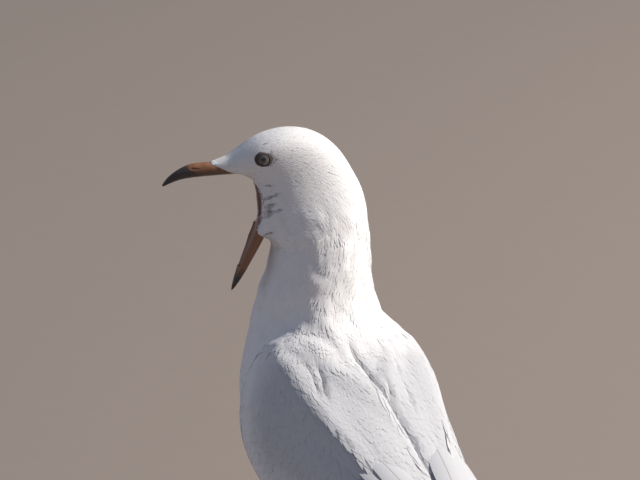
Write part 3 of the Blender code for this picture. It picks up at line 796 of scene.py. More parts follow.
class Skin:
    """The skin's surface, its search tree and, for each triangle, its plumage and its group of nodes."""

    def __init__(self):
        self.mesh = smoothed_flesh()
        places, normals, _ = mesh_arrays(self.mesh)
        depth = plumage_at(places)[1]
        depth = MOUTH_DEPTH + (depth - MOUTH_DEPTH) * smoothstep(*MOUTH_TO_COAT, mouth_reach(places))
        depth += EYE_SINK * smoothstep(*EYE_OPENING, eye_reach(places))
        depth -= back_relief(places, normals) + neck_lumps(places)
        places -= normals * (CLOSING + depth)[:, None]
        move_points(self.mesh, places)
        self.tree, self.places, self.normals, self.triangles = surface_of(self.mesh)
        tree, groups = group_surface()
        point_groups = groups[[tree.find_nearest(p)[2] for p in self.places.tolist()]]
        self.groups = point_groups[self.triangles[:, 0]]
        self.middles = self.places[self.triangles].mean(1)
        self.directions, *values = plumage_at(self.middles)
        self.values = np.stack(values, 1)
        self.grey = grey_share(self.places, self.normals)
        inside = in_mouth(self.middles, self.normals[self.triangles].mean(1))
        self.bare = (inside > 0.5) | (eye_reach(self.middles) < EYELID_REACH)
        self.bare |= in_trough(self.middles) > 0.5
        self.unwrap()

    def unwrap(self):
        """Unwraps a coarse copy of the skin, to place the feathers' patches by."""
        mesh = with_modifiers(self.mesh, ("REMESH", {"mode": "VOXEL", "voxel_size": UNWRAP_VOXEL}))
        helper = bpy.data.objects.new("unwrapped", mesh)
        bpy.context.scene.collection.objects.link(helper)
        bpy.context.view_layer.objects.active = helper
        helper.select_set(True)
        bpy.ops.object.mode_set(mode="EDIT")
        bpy.ops.mesh.select_all(action="SELECT")
        bpy.ops.uv.smart_project(angle_limit=math.radians(70), island_margin=0.004)
        bpy.ops.object.mode_set(mode="OBJECT")
        mesh.calc_loop_triangles()
        self.coarse_places = np.array([v.co for v in mesh.vertices])
        loops = np.array([t.loops for t in mesh.loop_triangles])
        self.coarse_corners = np.array([t.vertices for t in mesh.loop_triangles])
        flat = np.empty(len(mesh.loops) * 2, np.float32)
        mesh.uv_layers.active.data.foreach_get("uv", flat)
        self.coarse_uv = flat.reshape(-1, 2)[loops]
        self.coarse_tree = BVHTree.FromPolygons(self.coarse_places.tolist(), self.coarse_corners.tolist())
        bpy.data.objects.remove(helper)

    def uv_at(self, points):
        """Where these points are on the unwrapped skin."""
        found = [self.coarse_tree.find_nearest(p) for p in points.tolist()]
        hits = np.array([f[0] for f in found])
        faces = np.array([f[2] for f in found])
        corners = self.coarse_places[self.coarse_corners[faces]]
        first, second, third = corners[:, 0], corners[:, 1], corners[:, 2]
        normal = np.cross(second - first, third - first)
        square = np.maximum((normal**2).sum(1), 1e-18)
        share_second = (np.cross(hits - first, third - first) * normal).sum(1) / square
        share_third = (np.cross(second - first, hits - first) * normal).sum(1) / square
        shares = np.stack([1 - share_second - share_third, share_second, share_third], 1)
        return (self.coarse_uv[faces] * shares[:, :, None]).sum(1)


@functools.cache
def gull_skin():
    """The one skin, which every piece of the coat is laid on."""
    return Skin()


def set_attribute(mesh, name, values):
    mesh.attributes.new(name, "FLOAT", "POINT").data.foreach_set("value", np.asarray(values, np.float32))


COAT_TONE, TONE_COLOUR = 0.035, (0.45, 0.45, 0.48, 1)  # how much feathers differ, and what they vary towards
# Colour of the partings: painted shade in the gaps, over the dark down at the feathers' roots on the cheek.
PARTING_DOWN_AND_SHADE_COLOUR = (0.06, 0.055, 0.055, 1)


def add_plumage_colour(tree, plumage):
    """White and grey plumage from the mesh's own grey share, with each feather a little darker or lighter,
    and its partings darkened with painted shade, over dark down on the cheek.
    """
    base = mixed_colour(tree, attribute(tree, "grey"), (*plumage.white, 1), (*plumage.grey, 1))
    tone = maths(tree, "MULTIPLY_ADD", attribute(tree, "tone"), COAT_TONE, COAT_TONE)
    shown = mixed_colour(tree, tone, base, TONE_COLOUR)
    return mixed_colour(tree, attribute(tree, "dark_and_painted_shade"), shown, PARTING_DOWN_AND_SHADE_COLOUR)


def skin_material():
    plumage, head = bpy.context.scene.gull_plumage, bpy.context.scene.gull_head
    material, tree, shader = new_material("bird skin", Roughness=0.7)
    mouth = attribute(tree, "mouth")
    flesh = mixed_colour(tree, attribute(tree, "rim"), (*head.mouth, 1), (*head.gape, 1))
    shown = mixed_colour(tree, mouth, add_plumage_colour(tree, plumage), flesh)
    tree.links.new(shown, shader.inputs["Base Color"])
    tree.links.new(ramp(tree, mouth, (0, 0.8), (1, 0.32)), shader.inputs["Roughness"])
    bump(tree, shader, grain(tree, 1.2 * MM), 0.2 * MM)
    return material


def make_skin():
    skin = gull_skin()
    set_attribute(skin.mesh, "grey", skin.grey)
    mouth = in_mouth(skin.places, skin.normals)
    forward, _, rise = in_head_frame(skin.places)
    set_attribute(skin.mesh, "rim", smoothstep(*RIM_FORWARD, forward) * smoothstep(*RIM_RISE, rise))
    set_attribute(skin.mesh, "mouth", np.maximum(mouth, in_trough(skin.places)))
    set_attribute(skin.mesh, "tone", np.zeros(len(skin.places)))
    # The cheek's partings darken the skin too: dark down at the roots, with painted shade.
    set_attribute(skin.mesh, "dark_and_painted_shade", CHEEK_SHADE * cheek_gaps(skin.places))
    piece("skin", skin.mesh, skin_material(), FLESH)


# Feathers


# Seed, spacing of the roots as a share of the feathers' width, and stretch of their length and width
COATS = {
    "coat_face": (11, 0.66, 1.1, 1.0),
    "coat_crown": (12, 0.66, 1.1, 1.0),
    "coat_neck": (13, 0.52, 1.1, 1.0),
    "coat_shoulders": (14, 0.53, 1.1, 0.85),
    "coat_belly": (15, 0.55, 1.0, 1.0),
    "coat_thighs": (16, 0.42, 1.1, 1.0),
    "wing_coverts": (17, 0.5, 1.1, 1.0),
}
PATCH = 0.003  # width of a feather's patch on the unwrapped skin
QUILL_PATCH = 0.9  # the same for a large feather, as a share of its cell of the map
SHARP = math.radians(60)  # the rims of the vanes stay sharp edges
FLATNESS = 0.055  # thickness of a small feather as a share of its half width
COAT_CAMBER, QUILL_CAMBER = 0.07, 0.12  # how much small and large vanes curve
THINNING = ((0, 1), (0.6, 0.7), (1, 0.2))  # share along, share of the thickness
COAT_STEPS = 6  # places on the centre line of a small feather
SHOWN_STEP, OUTER_STEPS = 3, (2, 4, 5)  # the one whose shade it takes, and those that stay clear of the lids
DENSE = 3.0  # feathers tried for each that the spacing leaves
CELLS = 4  # sizes of spacing cell for each doubling
RUMP_END, THIGH_END = -138, 74  # forward and height; beyond these, feathers run on past the end of the skin
PAST_SKIN = 0.4  # how many steps off the skin such a feather runs free
FACE_START = 14  # forward of this, the head's coat is the face's
COAT_SPLIT = 170 * MM  # height that parts the shoulders' coat from the belly's

# How the coat varies
SWIRL, RUFFLED_SWIRL, STRAY = 6, 10, 3  # degrees that feathers turn together, where ruffled, and each alone
LENGTH_SPREAD, WIDTH_SPREAD, DEPTH_SPREAD = (0.88, 1.1), (0.88, 1.12), (0.96, 1.0)
LUMP_SPAN, LUMP_GAIN, LUMP_LIMITS, LUMP_SHARE = 6.5 * MM, 1.4, (-0.5, 1), 0.7  # waves of the ruffled coat
SWIRL_SPAN = 9 * MM
LIFT_SHARES, LIFTS = (0, 0.25, 1), (-0.05, 0.84, 1.0)  # how high a feather's centre line is along it
TUCK = 0.2  # feathers under the mantle's edge are shorter by this share
TUCK_START, TUCK_END, TUCK_HEIGHT = (-16, -9), (2, -1), (185, 200)
NECK_RUFFLE, RUFFLE_RISE, RUFFLE_HEIGHT = 0.6, (-16, -34), (212, 228)
CHEEK_PLACE, CHEEK_RADII = (29, -22), (7, 11)  # the ruffled cheek behind the gape: forward, rise
RIDGE_HEIGHT = ((-75, 191), (-56, 198), (-32, 212), (-12, 220))  # forward, height of the mantle's edge
RIDGE_FORWARD, RIDGE_NEAR = (-85, -70), (-7, -1)  # forward, and height against the ridge's
RIDGE_MIDDLE, RIDGE_HALF = 1, 5  # inside the mantle's edge
MOUTH_CLEAR = 0.94  # feathers whose tips reach further into the mouth are left out
GAP_CLEAR = 0.6  # and so are those in the middle of a dark parting
CHEEK_GAPS = (  # dark partings: forward, rise, half length, half width, degrees up to the back
    (31.0, -10.9, 2.2, 0.5, 5),
    (29.3, -16.9, 4.3, 0.6, 30),
    (31.4, -18.6, 2.2, 0.7, 34),
    (30.3, -22.4, 3.9, 0.7, 28),
    (30.7, -26.5, 2.7, 1.15, 15),
    (26.4, -25.3, 2.4, 0.6, 33),
    (31.9, -29.7, 1.8, 0.5, 30),
    (30.8, -39.2, 3.0, 0.55, 30),
)
GAP_WIDER, GAP_FADE = 1.35, (1.6, 0.3)  # a parting is this much wider; its edge, counted in its half lengths
GAP_WAVE, GAP_TURNS = 0.25, 1.7  # how far a parting winds, and how often
CHEEK_SHADE, CHEEK_SHADE_SPREAD = 0.5, 0.15  # how dark the cheek's partings are painted, for the dark down at the roots and painted shade, and how much that varies
PARTING_SHADE = 0.14  # how much darker the back is in a parting, for each millimetre that it is sunk

# Half widths of the small feathers, by share along
LANCET = ((0, 0.5), (0.3, 0.9), (0.6, 1.0), (0.85, 0.62), (1, 0.08))
ROUNDED = ((0, 0.35), (0.2, 0.8), (0.45, 1.0), (0.75, 0.97), (0.9, 0.74), (1, 0.25))
POINTED = ((0, 0.45), (0.2, 0.85), (0.5, 1.0), (0.8, 0.85), (0.93, 0.5), (1, 0.12))


class Template:
    """One feather in its own space: X from -1 to 1 across, Y from 0 to 1 along and Z its thickness."""

    def __init__(self, segments, cuts, widths):
        """widths are rows of (share along, share of the half width)."""
        across, self.along, rise, self.faces = unit_tube(segments, cuts)
        across = across / np.abs(across).max()
        self.across = across * np.interp(self.along, *zip(*widths))
        self.rise = rise * np.interp(self.along, *zip(*THINNING))
        self.map = np.stack([self.across / 2 + 0.5, self.along], 1)


def feather_mesh(name, template, centres, normals, half_widths, thickness, camber, roots, extra):
    """Lays the template along each feather's line of centres (N, K, 3), with its normals, as one mesh.
    camber is how much the vanes curve, as a share of their half width, roots are each feather's (u, v, width)
    on the map that the colours are baked to, and extra are attributes with one value for each feather."""
    count, steps = centres.shape[:2]
    tangents = unit(np.gradient(centres, axis=1))
    normals = unit(normals - tangents * (normals * tangents).sum(2, keepdims=True))
    sides = np.cross(tangents, normals)
    position = template.along * (steps - 1)
    low = np.minimum(position.astype(int), steps - 2)
    share = (position - low)[None, :, None]

    def between(rows):
        return rows[:, low] * (1 - share) + rows[:, low + 1] * share

    across = template.across[None, :, None] * half_widths[:, None, None]
    rise = template.rise[None, :, None] * thickness[:, None, None]
    rise = rise - camber * (template.across**2)[None, :, None] * half_widths[:, None, None]
    places = between(centres) + between(sides) * across + between(normals) * rise
    size = len(template.across)
    lengths = np.tile([len(face) for face in template.faces], count)
    flat = np.concatenate([np.array(face) for face in template.faces])
    corners = (flat[None] + np.arange(count)[:, None] * size).ravel()
    mesh = bpy.data.meshes.new(name)
    mesh.vertices.add(count * size)
    mesh.vertices.foreach_set("co", places.astype(np.float32).ravel())
    mesh.loops.add(len(corners))
    mesh.loops.foreach_set("vertex_index", corners.astype(np.int32))
    mesh.polygons.add(len(lengths))
    starts = np.concatenate([[0], np.cumsum(lengths)[:-1]])
    mesh.polygons.foreach_set("loop_start", starts.astype(np.int32))
    mesh.update(calc_edges=True)
    own = template.map[flat]
    vane = np.tile(own, (count, 1))
    mesh.uv_layers.new(name="vane").data.foreach_set("uv", vane.astype(np.float32).ravel())
    bake = roots[:, None, :2] + (own[None] - 0.5) * roots[:, None, 2:]
    mesh.uv_layers.new(name="OFBake").data.foreach_set("uv", bake.astype(np.float32).ravel())
    for title, values in extra.items():
        set_attribute(mesh, title, np.repeat(values, size))
    return mesh


def feather_piece(name, mesh, material, replaced=()):
    """A piece of many feathers, smooth over each vane and sharp round its rim."""
    made = piece(name, mesh, material, replaced)
    mesh.set_sharp_from_angle(angle=SHARP)
    return made


def scatter(skin, random, spacing, chosen):
    """Evenly spread points on the chosen triangles of the skin: places, normals and their triangles.
    spacing is one distance for each triangle of the skin."""
    corners = skin.places[skin.triangles[chosen]]
    areas = np.linalg.norm(np.cross(corners[:, 1] - corners[:, 0], corners[:, 2] - corners[:, 0]), axis=1) / 2
    expected = DENSE * areas / spacing[chosen] ** 2
    tries = np.floor(expected + random.random(len(expected))).astype(int)
    picked = np.repeat(np.arange(len(chosen)), tries)
    picked = picked[random.permutation(len(picked))]
    first, second = random.random(len(picked)), random.random(len(picked))
    over = first + second > 1
    first, second = np.where(over, 1 - first, first), np.where(over, 1 - second, second)
    shares = np.stack([1 - first - second, first, second], 1)[:, :, None]
    points = (corners[picked] * shares).sum(1)
    normals = unit((skin.normals[skin.triangles[chosen[picked]]] * shares).sum(1))
    level = np.round(np.log2(spacing[chosen[picked]] / MM) * CELLS)
    cells = np.floor(points / (2.0 ** (level / CELLS) * MM)[:, None]).astype(int)
    keys = np.column_stack([cells, level.astype(int)])
    _, kept = np.unique(keys, axis=0, return_index=True)
    kept = np.sort(kept)
    return points[kept], normals[kept], chosen[picked[kept]]


def turned(directions, normals, angles):
    """Directions in the surface, turned about its normals by these angles."""
    directions = unit(directions - normals * (directions * normals).sum(1, keepdims=True))
    sides = np.cross(normals, directions)
    return directions * np.cos(angles)[:, None] + sides * np.sin(angles)[:, None]


def march(skin, points, normals, directions, lengths, steps):
    """Lines that follow the skin from these points and run straight on past the rump: places and normals."""
    places, facings = [points], [normals]
    here, facing = points, normals
    step = lengths / (steps - 1)
    for _ in range(steps - 1):
        ahead = here + directions * step[:, None]
        found = [skin.tree.find_nearest(p) for p in ahead.tolist()]
        near = np.array([f[0] for f in found])
        ends = (AXIS.y - ahead[:, 1] < RUMP_END * MM) | (ahead[:, 2] < THIGH_END * MM)
        past = ends & (np.array([f[3] for f in found]) > PAST_SKIN * step)
        on_skin = ~past[:, None]
        here = np.where(on_skin, near, ahead)
        facing = unit(np.where(on_skin, np.array([f[1] for f in found]), facing) + facing)
        places.append(here)
        facings.append(facing)
        directions = unit(directions - facing * (directions * facing).sum(1, keepdims=True))
    return np.stack(places, 1), np.stack(facings, 1)


def cheek_gaps(points):
    """1 in the dark partings of the cheek."""
    forward, _, rise = in_head_frame(points)
    shown = np.zeros(len(points))
    for ahead, height, half_length, half_width, slope in CHEEK_GAPS:
        angle = math.radians(slope)
        x, z = ahead - forward, rise - height
        along = x * math.cos(angle) + z * math.sin(angle)
        across = z * math.cos(angle) - x * math.sin(angle) + GAP_WAVE * np.sin(along * GAP_TURNS)
        gap = np.hypot(along / half_length, across / half_width / GAP_WIDER)
        shown = np.maximum(shown, smoothstep(*GAP_FADE, gap))
    return shown


def neck_ruffle(points):
    """1 where the stretched neck's feathers stand in loose tufts, and on the cheek behind the gape."""
    forward, _, rise = in_head_frame(points)
    ahead, _, height = in_trunk_frame(points)
    neck = smoothstep(*RUFFLE_RISE, rise) * smoothstep(*RUFFLE_HEIGHT, height)
    along, up = (forward - CHEEK_PLACE[0]) / CHEEK_RADII[0], (rise - CHEEK_PLACE[1]) / CHEEK_RADII[1]
    cheek = np.exp(-(along**2 + up**2))
    inside = (inside_mantle(points) - RIDGE_MIDDLE) / RIDGE_HALF
    ridge = np.exp(-(inside**2)) * smoothstep(*RIDGE_FORWARD, ahead)
    ridge *= smoothstep(*RIDGE_NEAR, height - np.interp(ahead, *zip(*RIDGE_HEIGHT)))
    return np.clip(neck * NECK_RUFFLE + cheek + ridge, 0, 1)


def lay_coat(name, template, group, where=None):
    """One piece of the coat: feathers of this template over the part of the skin on this group of nodes, or
    over as much of it as where chooses."""
    seed, closeness, longer, wider = COATS[name]
    skin = gull_skin()
    settings = bpy.context.scene.gull_plumage
    random = np.random.default_rng(seed)
    spacing = skin.values[:, 2] * 2 * wider * closeness / math.sqrt(settings.density)
    kept = (skin.groups == group) & ~skin.bare
    if where:
        kept &= where(skin.middles)
    points, normals, triangles = scatter(skin, random, spacing, np.nonzero(kept)[0])
    count = len(points)
    depth, lengths, half_widths = skin.values[triangles].T
    ruffle = neck_ruffle(points)
    swirl = np.radians(SWIRL + RUFFLED_SWIRL * ruffle) * ripple(points, SWIRL_SPAN, seed)
    swirl += np.radians(STRAY) * random.normal(size=count)
    directions = turned(skin.directions[triangles], normals, swirl)
    before = inside_mantle(points)
    tucked = smoothstep(*TUCK_START, before) * smoothstep(*TUCK_END, before)
    tucked *= smoothstep(*TUCK_HEIGHT, points[:, 2] / MM)
    lengths = lengths * longer * random.uniform(*LENGTH_SPREAD, count) * (1 - TUCK * tucked)
    half_widths = half_widths * wider * random.uniform(*WIDTH_SPREAD, count)
    places, facings = march(skin, points, normals, directions, lengths, COAT_STEPS)
    waves = np.clip(ripple(points, LUMP_SPAN, seed + 1) * LUMP_GAIN, *LUMP_LIMITS)
    lumps = settings.ruffle * ruffle * waves * LUMP_SHARE
    tip = depth * random.uniform(*DEPTH_SPREAD, count) + lumps
    lift = tip[:, None] * np.interp(np.linspace(0, 1, COAT_STEPS), LIFT_SHARES, LIFTS)[None]
    centres = places + facings * lift[:, :, None]
    clear = (mouth_reach(centres[:, -1]) > MOUTH_CLEAR) & (cheek_gaps(points) < GAP_CLEAR)
    for step in OUTER_STEPS:
        clear &= eye_reach(centres[:, step]) > EYELID_REACH
    centres, facings, points, half_widths = centres[clear], facings[clear], points[clear], half_widths[clear]
    grey = skin.grey[skin.triangles[triangles[clear], 0]]
    roots = np.column_stack([skin.uv_at(points), np.full(len(points), PATCH)])
    tone = random.uniform(-1, 1, len(points))
    # Feathers in the partings are darkened: on the back, painted shade as deep as the parting is sunk; on the
    # cheek, dark down with painted shade.
    shown = centres[:, SHOWN_STEP]
    cheek_shade = (CHEEK_SHADE + CHEEK_SHADE_SPREAD * tone) * cheek_gaps(shown)
    dark_and_painted_shade = np.maximum(cheek_shade, PARTING_SHADE * back_partings(shown))
    extra = {"grey": grey, "tone": tone, "dark_and_painted_shade": dark_and_painted_shade}
    thickness = half_widths * FLATNESS
    mesh = feather_mesh(name, template, centres, facings, half_widths, thickness, COAT_CAMBER, roots, extra)
    return feather_piece(name, mesh, plumage_material())


def plumage_material():
    found = bpy.data.materials.get("plumage")
    if found:
        return found
    plumage = bpy.context.scene.gull_plumage
    material, tree, shader = new_material("plumage", Roughness=0.75, Sheen_Weight=0.15, Sheen_Roughness=0.5)
    shader.inputs["Specular IOR Level"].default_value = 0.25
    shown = add_plumage_colour(tree, plumage)
    vane = use_group(tree, vane_group(), {"Map": vane_map(tree), "Barbs": 14.0})
    tree.links.new(shown, shader.inputs["Base Color"])
    bump(tree, shader, vane.outputs["Height"], 0.05 * MM, 0.4)
    return material


def on_face(points):
    return in_head_frame(points)[0] > FACE_START


def above_split(points):
    return points[:, 2] > COAT_SPLIT


def make_head_coat():
    down = Template(3, 2, LANCET)
    lay_coat("coat_face", down, "head", on_face)
    lay_coat("coat_crown", down, "head", lambda points: ~on_face(points))


def make_neck_coat():
    lay_coat("coat_neck", Template(3, 3, LANCET), "neck")


def make_body_coat():
    down = Template(3, 4, ROUNDED)
    lay_coat("coat_shoulders", down, "trunk", above_split)
    lay_coat("coat_belly", down, "trunk", lambda points: ~above_split(points))
    lay_coat("coat_thighs", down, "thigh")


def make_wing_coverts():
    lay_coat("wing_coverts", Template(4, 4, ROUNDED), "wing")


# Eyes


PUPIL_ANGLE, IRIS_ANGLE = 12.0, 33.5  # degrees from the eye's axis
PUPIL_COLOUR, LIMBUS_COLOUR = (0.004, 0.004, 0.004, 1), (0.02, 0.015, 0.013, 1)
CORNEA_HEIGHT, CORNEA_RADIUS = 0.45 * MM, 3.6 * MM
EYE_AHEAD, EYE_UP = 0.10, 0.06  # how far the eye looks forward and up
LID_PROFILE = (  # the lids' section: away from the eye's axis, out of the head
    (3.3, 4.6), (3.35, 5.08), (3.65, 5.3), (4.15, 5.05), (4.75, 4.45), (5.0, 3.9), (4.9, 3.2), (4.2, 2.9),
)


def eye_frame(side):
    """The eye's matrix: its Z axis looks out of the head and its X axis forward."""
    out = (LEFTWARD * side + FORWARD * EYE_AHEAD + UP * EYE_UP).normalized()
    ahead = (FORWARD - out * FORWARD.dot(out)).normalized()
    return Matrix((ahead, out.cross(ahead), out)).transposed().to_4x4()


def eye_material():
    head = bpy.context.scene.gull_head
    material, tree, shader = new_material("eye", Roughness=0.12, Coat_Weight=1.0, Coat_Roughness=0.02)
    angle = maths(tree, "DIVIDE", attribute(tree, "angle"), 90.0)
    iris = mixed_colour(tree, grain(tree, 0.35 * MM), scaled(head.iris, 0.45), (*head.iris, 1))
    pupil = ramp(tree, angle, ((PUPIL_ANGLE - 1) / 90, 0), ((PUPIL_ANGLE + 1) / 90, 1))
    limbus = ramp(tree, angle, ((IRIS_ANGLE - 3) / 90, 0), ((IRIS_ANGLE + 1) / 90, 1))
    shown = mixed_colour(tree, pupil, PUPIL_COLOUR, iris)
    shown = mixed_colour(tree, limbus, shown, LIMBUS_COLOUR)
    tree.links.new(shown, shader.inputs["Base Color"])
    return material


def lid_material():
    eyelid = bpy.context.scene.gull_head.eyelid
    return mottled_material(
        "eyelid", 0.4 * MM, (*eyelid, 1), scaled(eyelid, 1.8), 0.12 * MM, Roughness=0.85,
    )


def make_eyes():
    ball_finish, lid_finish = eye_material(), lid_material()
    for side, suffix in SIDES:
        placing = Matrix.Translation(EYES[suffix]) @ eye_frame(side)
        ball = bmesh.new()
        bmesh.ops.create_uvsphere(ball, u_segments=48, v_segments=40, radius=EYE_RADIUS)
        angles = []
        for vert in ball.verts:
            angles.append(math.degrees(vert.co.angle(UP)))
            away = math.hypot(vert.co.x, vert.co.y) / CORNEA_RADIUS
            if vert.co.z > 0 and away < 1:
                vert.co.z += CORNEA_HEIGHT * (1 - away**2) ** 1.5
        bmesh.ops.transform(ball, matrix=placing, verts=ball.verts)
        mesh = to_mesh(ball, "eyeball")
        set_attribute(mesh, "angle", angles)
        piece("eyeball_" + suffix, mesh, ball_finish, ("eye_" + suffix,))

        lid = bmesh.new()
        loop = [lid.verts.new((r * MM, 0, h * MM)) for r, h in smooth_loop(LID_PROFILE, 3)]
        edges = [lid.edges.new((a, b)) for a, b in zip(loop, loop[1:] + loop[:1])]
        bmesh.ops.spin(lid, geom=loop + edges, axis=(0, 0, 1), angle=2 * math.pi, steps=64, use_merge=True)
        bmesh.ops.remove_doubles(lid, verts=lid.verts, dist=0.000001)
        bmesh.ops.recalc_face_normals(lid, faces=lid.faces)
        bmesh.ops.scale(lid, verts=lid.verts, vec=(*LID_OVAL, 1))
        bmesh.ops.transform(lid, matrix=placing, verts=lid.verts)
        piece("eyelid_" + suffix, to_mesh(lid, "eyelid"), lid_finish)


def smooth_loop(rows, steps):
    """A closed loop of rows with more between them."""
    doubled = smooth_line([*rows, *rows, *rows], steps)
    return doubled[len(rows) * steps:2 * len(rows) * steps]


# Bill and mouth


BILL_VOXEL = 0.35 * MM
BILL_ROOT = 3.0 * MM  # how far the upper horn runs back under the feathers
LOWER_BILL_ROOT = 4.2 * MM  # the same for the lower horn
TROUGH_RISE = 1.5 * MM  # how far the walls of the lower horn rise at its base
BILL_OVERLAP, BILL_INSET = 30 * MM, 0.15 * MM
NOSTRIL, NOSTRIL_HALF = (71.5, -1.3), (2.4, 0.45)  # forward, rise
NOSTRIL_DEPTH, NOSTRIL_EDGE = 0.6 * MM, (1.4, 0.4)
HORN_DARKENS, TIP_SLANT = (71.0, 81.0), 0.8  # forward, and how far the dark tip runs back below
# The nostril's hollow gets painted shade as well as its dent.
EDGE_RISE, EDGE_DUSK, NOSTRIL_PAINTED_SHADE = (-1.0, -4.5), 0.55, 0.2
LOWER_DARKENS, LOWER_DUSK, LOWER_PAINTED_LIGHT = (-56.0, -67.0), 0.75, 0.9  # rise, then how dark, and how far the lower horn is painted paler: painted light against the shade that it lies in


def fine_bill(name, back, shift):
    """A fine copy of one half of the bill, joined by a copy whose rear is set back under the feathers."""
    copy = node_bmesh(name)
    root = Vector(max((v.co for v in copy.verts), key=lambda spot: spot.dot(back)))
    doubled = bmesh.ops.duplicate(copy, geom=[*copy.verts, *copy.edges, *copy.faces])["geom"]
    for vert in (item for item in doubled if isinstance(item, bmesh.types.BMVert)):
        away = (root - vert.co).dot(back)
        share = max(0, 1 - away / BILL_OVERLAP)
        vert.co += shift * share - vert.normal * BILL_INSET
    return with_modifiers(
        to_mesh(copy, name),
        ("REMESH", {"mode": "VOXEL", "voxel_size": BILL_VOXEL}),
        ("SMOOTH", {"factor": 0.5, "iterations": 5}),
    )


def horn_material():
    head = bpy.context.scene.gull_head
    material, tree, shader = new_material("horn", Roughness=0.38, Coat_Weight=0.15, Coat_Roughness=0.3)
    streaks, patchy = grain(tree, 0.9 * MM), grain(tree, 4.0 * MM)
    pale_horn_and_painted_light = scaled(head.horn, 1.5)
    base = mixed_colour(tree, ramp(tree, patchy, (0.35, 0), (0.7, 1)), (*head.horn, 1), pale_horn_and_painted_light)
    # The lower horn is painted paler by its own share: painted light against the shade that it lies in.
    base = mixed_colour(tree, attribute(tree, "pale_horn_and_painted_light"), base, pale_horn_and_painted_light)
    # The horn darkens by the mesh's own share: its dark tip and edge, and painted shade in the nostril's
    # hollow.
    uneven = maths(tree, "MULTIPLY_ADD", maths(tree, "SUBTRACT", patchy, 0.5), 0.7, attribute(tree, "dark_and_painted_shade"))
    dark = ramp(tree, uneven, (0.25, 0), (0.75, 1))
    shown = mixed_colour(tree, dark, base, (*head.horn_tip, 1))
    tree.links.new(shown, shader.inputs["Base Color"])
    tree.links.new(ramp(tree, streaks, (0.2, 0.32), (0.8, 0.5)), shader.inputs["Roughness"])
    bump(tree, shader, streaks, 0.08 * MM, 0.6)
    return material


def make_bill():
    finish = horn_material()
    upper = fine_bill("bill_upper", -FORWARD, -FORWARD * BILL_ROOT)
    places, normals, _ = mesh_arrays(upper)
    forward, _, rise = in_head_frame(places)
    slit = np.hypot((forward - NOSTRIL[0]) / NOSTRIL_HALF[0], (rise - NOSTRIL[1]) / NOSTRIL_HALF[1])
    hollow = smoothstep(*NOSTRIL_EDGE, slit)
    places -= normals * (NOSTRIL_DEPTH * hollow)[:, None]
    move_points(upper, places)
    edge = smoothstep(*EDGE_RISE, rise)
    tip = smoothstep(*HORN_DARKENS, forward - rise * TIP_SLANT)
    # Dark tip, dark lower edge, and painted shade in the nostril's hollow.
    set_attribute(upper, "dark_and_painted_shade", np.clip(tip + edge * EDGE_DUSK + hollow * NOSTRIL_PAINTED_SHADE, 0, 1))
    piece("horn_upper", upper, finish, ("bill_upper",))

    tip_place, base_place = lower_bill_ends()
    back = (base_place - tip_place).normalized()
    mouthward = (FORWARD - back * FORWARD.dot(back)).normalized()
    lower = fine_bill("bill_lower", back, back * LOWER_BILL_ROOT + mouthward * TROUGH_RISE)
    _, _, rise = in_head_frame(mesh_arrays(lower)[0])
    set_attribute(lower, "dark_and_painted_shade", LOWER_DUSK * smoothstep(*LOWER_DARKENS, rise))
    # Painted light: the whole lower horn is made paler to make up for the shade that it lies in.
    set_attribute(lower, "pale_horn_and_painted_light", np.full(len(rise), LOWER_PAINTED_LIGHT))
    piece("horn_lower", lower, finish, ("bill_lower",))


def lower_bill_ends():
    """The lower bill's tip and the middle of its base."""
    points = np.array([v.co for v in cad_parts["bill_lower"].data.vertices])
    tip = points[points[:, 2] < points[:, 2].min() + MM].mean(0)
    base = points[points[:, 2] > points[:, 2].max() - 2 * MM].mean(0)
    return Vector(tip), Vector(base)


def flesh_material(name, tint):
    """Wet flesh, finely folded."""
    return mottled_material(
        name, 0.8 * MM, scaled(tint, 0.6), (*tint, 1), 0.2 * MM,
        Roughness=0.35, Coat_Weight=0.5, Coat_Roughness=0.15,
    )


GAPE_STEPS = 25
GAPE_SPAN = math.radians(78)
GAPE_RADIUS = 0.7 * MM
GAPE_OUT = 1.02  # the edges lie this share of the mouth's half width from its middle
GAPE_SHARES, GAPE_THICKNESS = (-1, -0.5, 0.5, 1), (0.5, 1, 1, 0.5)  # along an edge, share of its radius
BEFORE_MOUTH = 80  # forward; from here, the edge of the mouth is looked for
TONGUE_SINK = 2.0 * MM  # how much deeper the tongue lies in the mouth and the trough than its solid


def make_mouth():
    head = bpy.context.scene.gull_head
    skin = gull_skin()
    tongue = refined(0.25 * MM, 4, "tongue")
    move_points(tongue, mesh_arrays(tongue)[0] - np.array(FORWARD) * TONGUE_SINK)
    piece("tongue_flesh", tongue, flesh_material("tongue", tuple(head.mouth)), ("tongue",))
    finish = flesh_material("gape", tuple(head.gape))
    for side, suffix in SIDES:
        line = []
        for turn in np.linspace(-GAPE_SPAN, GAPE_SPAN, GAPE_STEPS):
            left = side * MOUTH_RADII[1] * GAPE_OUT * math.cos(turn)
            rise = MOUTH_CENTRE[1] + MOUTH_RADII[2] * math.sin(turn)
            line.append(skin.tree.ray_cast(head_place(BEFORE_MOUTH, rise, left), -FORWARD)[0])
        radii = np.interp(np.linspace(-1, 1, GAPE_STEPS), GAPE_SHARES, GAPE_THICKNESS) * GAPE_RADIUS
        mesh = tube_mesh("gape", line, radii, LEFTWARD * side)
        piece("gape_" + suffix, mesh, finish)


# Flight feathers and tail


def trunk_place(forward, left, height):
    return place(0, forward, height, left)


def wing_place(spot, side):
    """A place of the left wing (forward, left, height), or its mirror image, as an array."""
    forward, left, height = spot
    return np.array(trunk_place(forward, left * side, height))


def quadratic(first, middle, last, steps):
    """A curve of this many points through three places."""
    first, middle, last = (np.array(p, float) for p in (first, middle, last))
    bend = 2 * middle - (first + last) / 2
    u = np.linspace(0, 1, steps)[:, None]
    return first * (1 - u) ** 2 + bend * 2 * u * (1 - u) + last * u**2


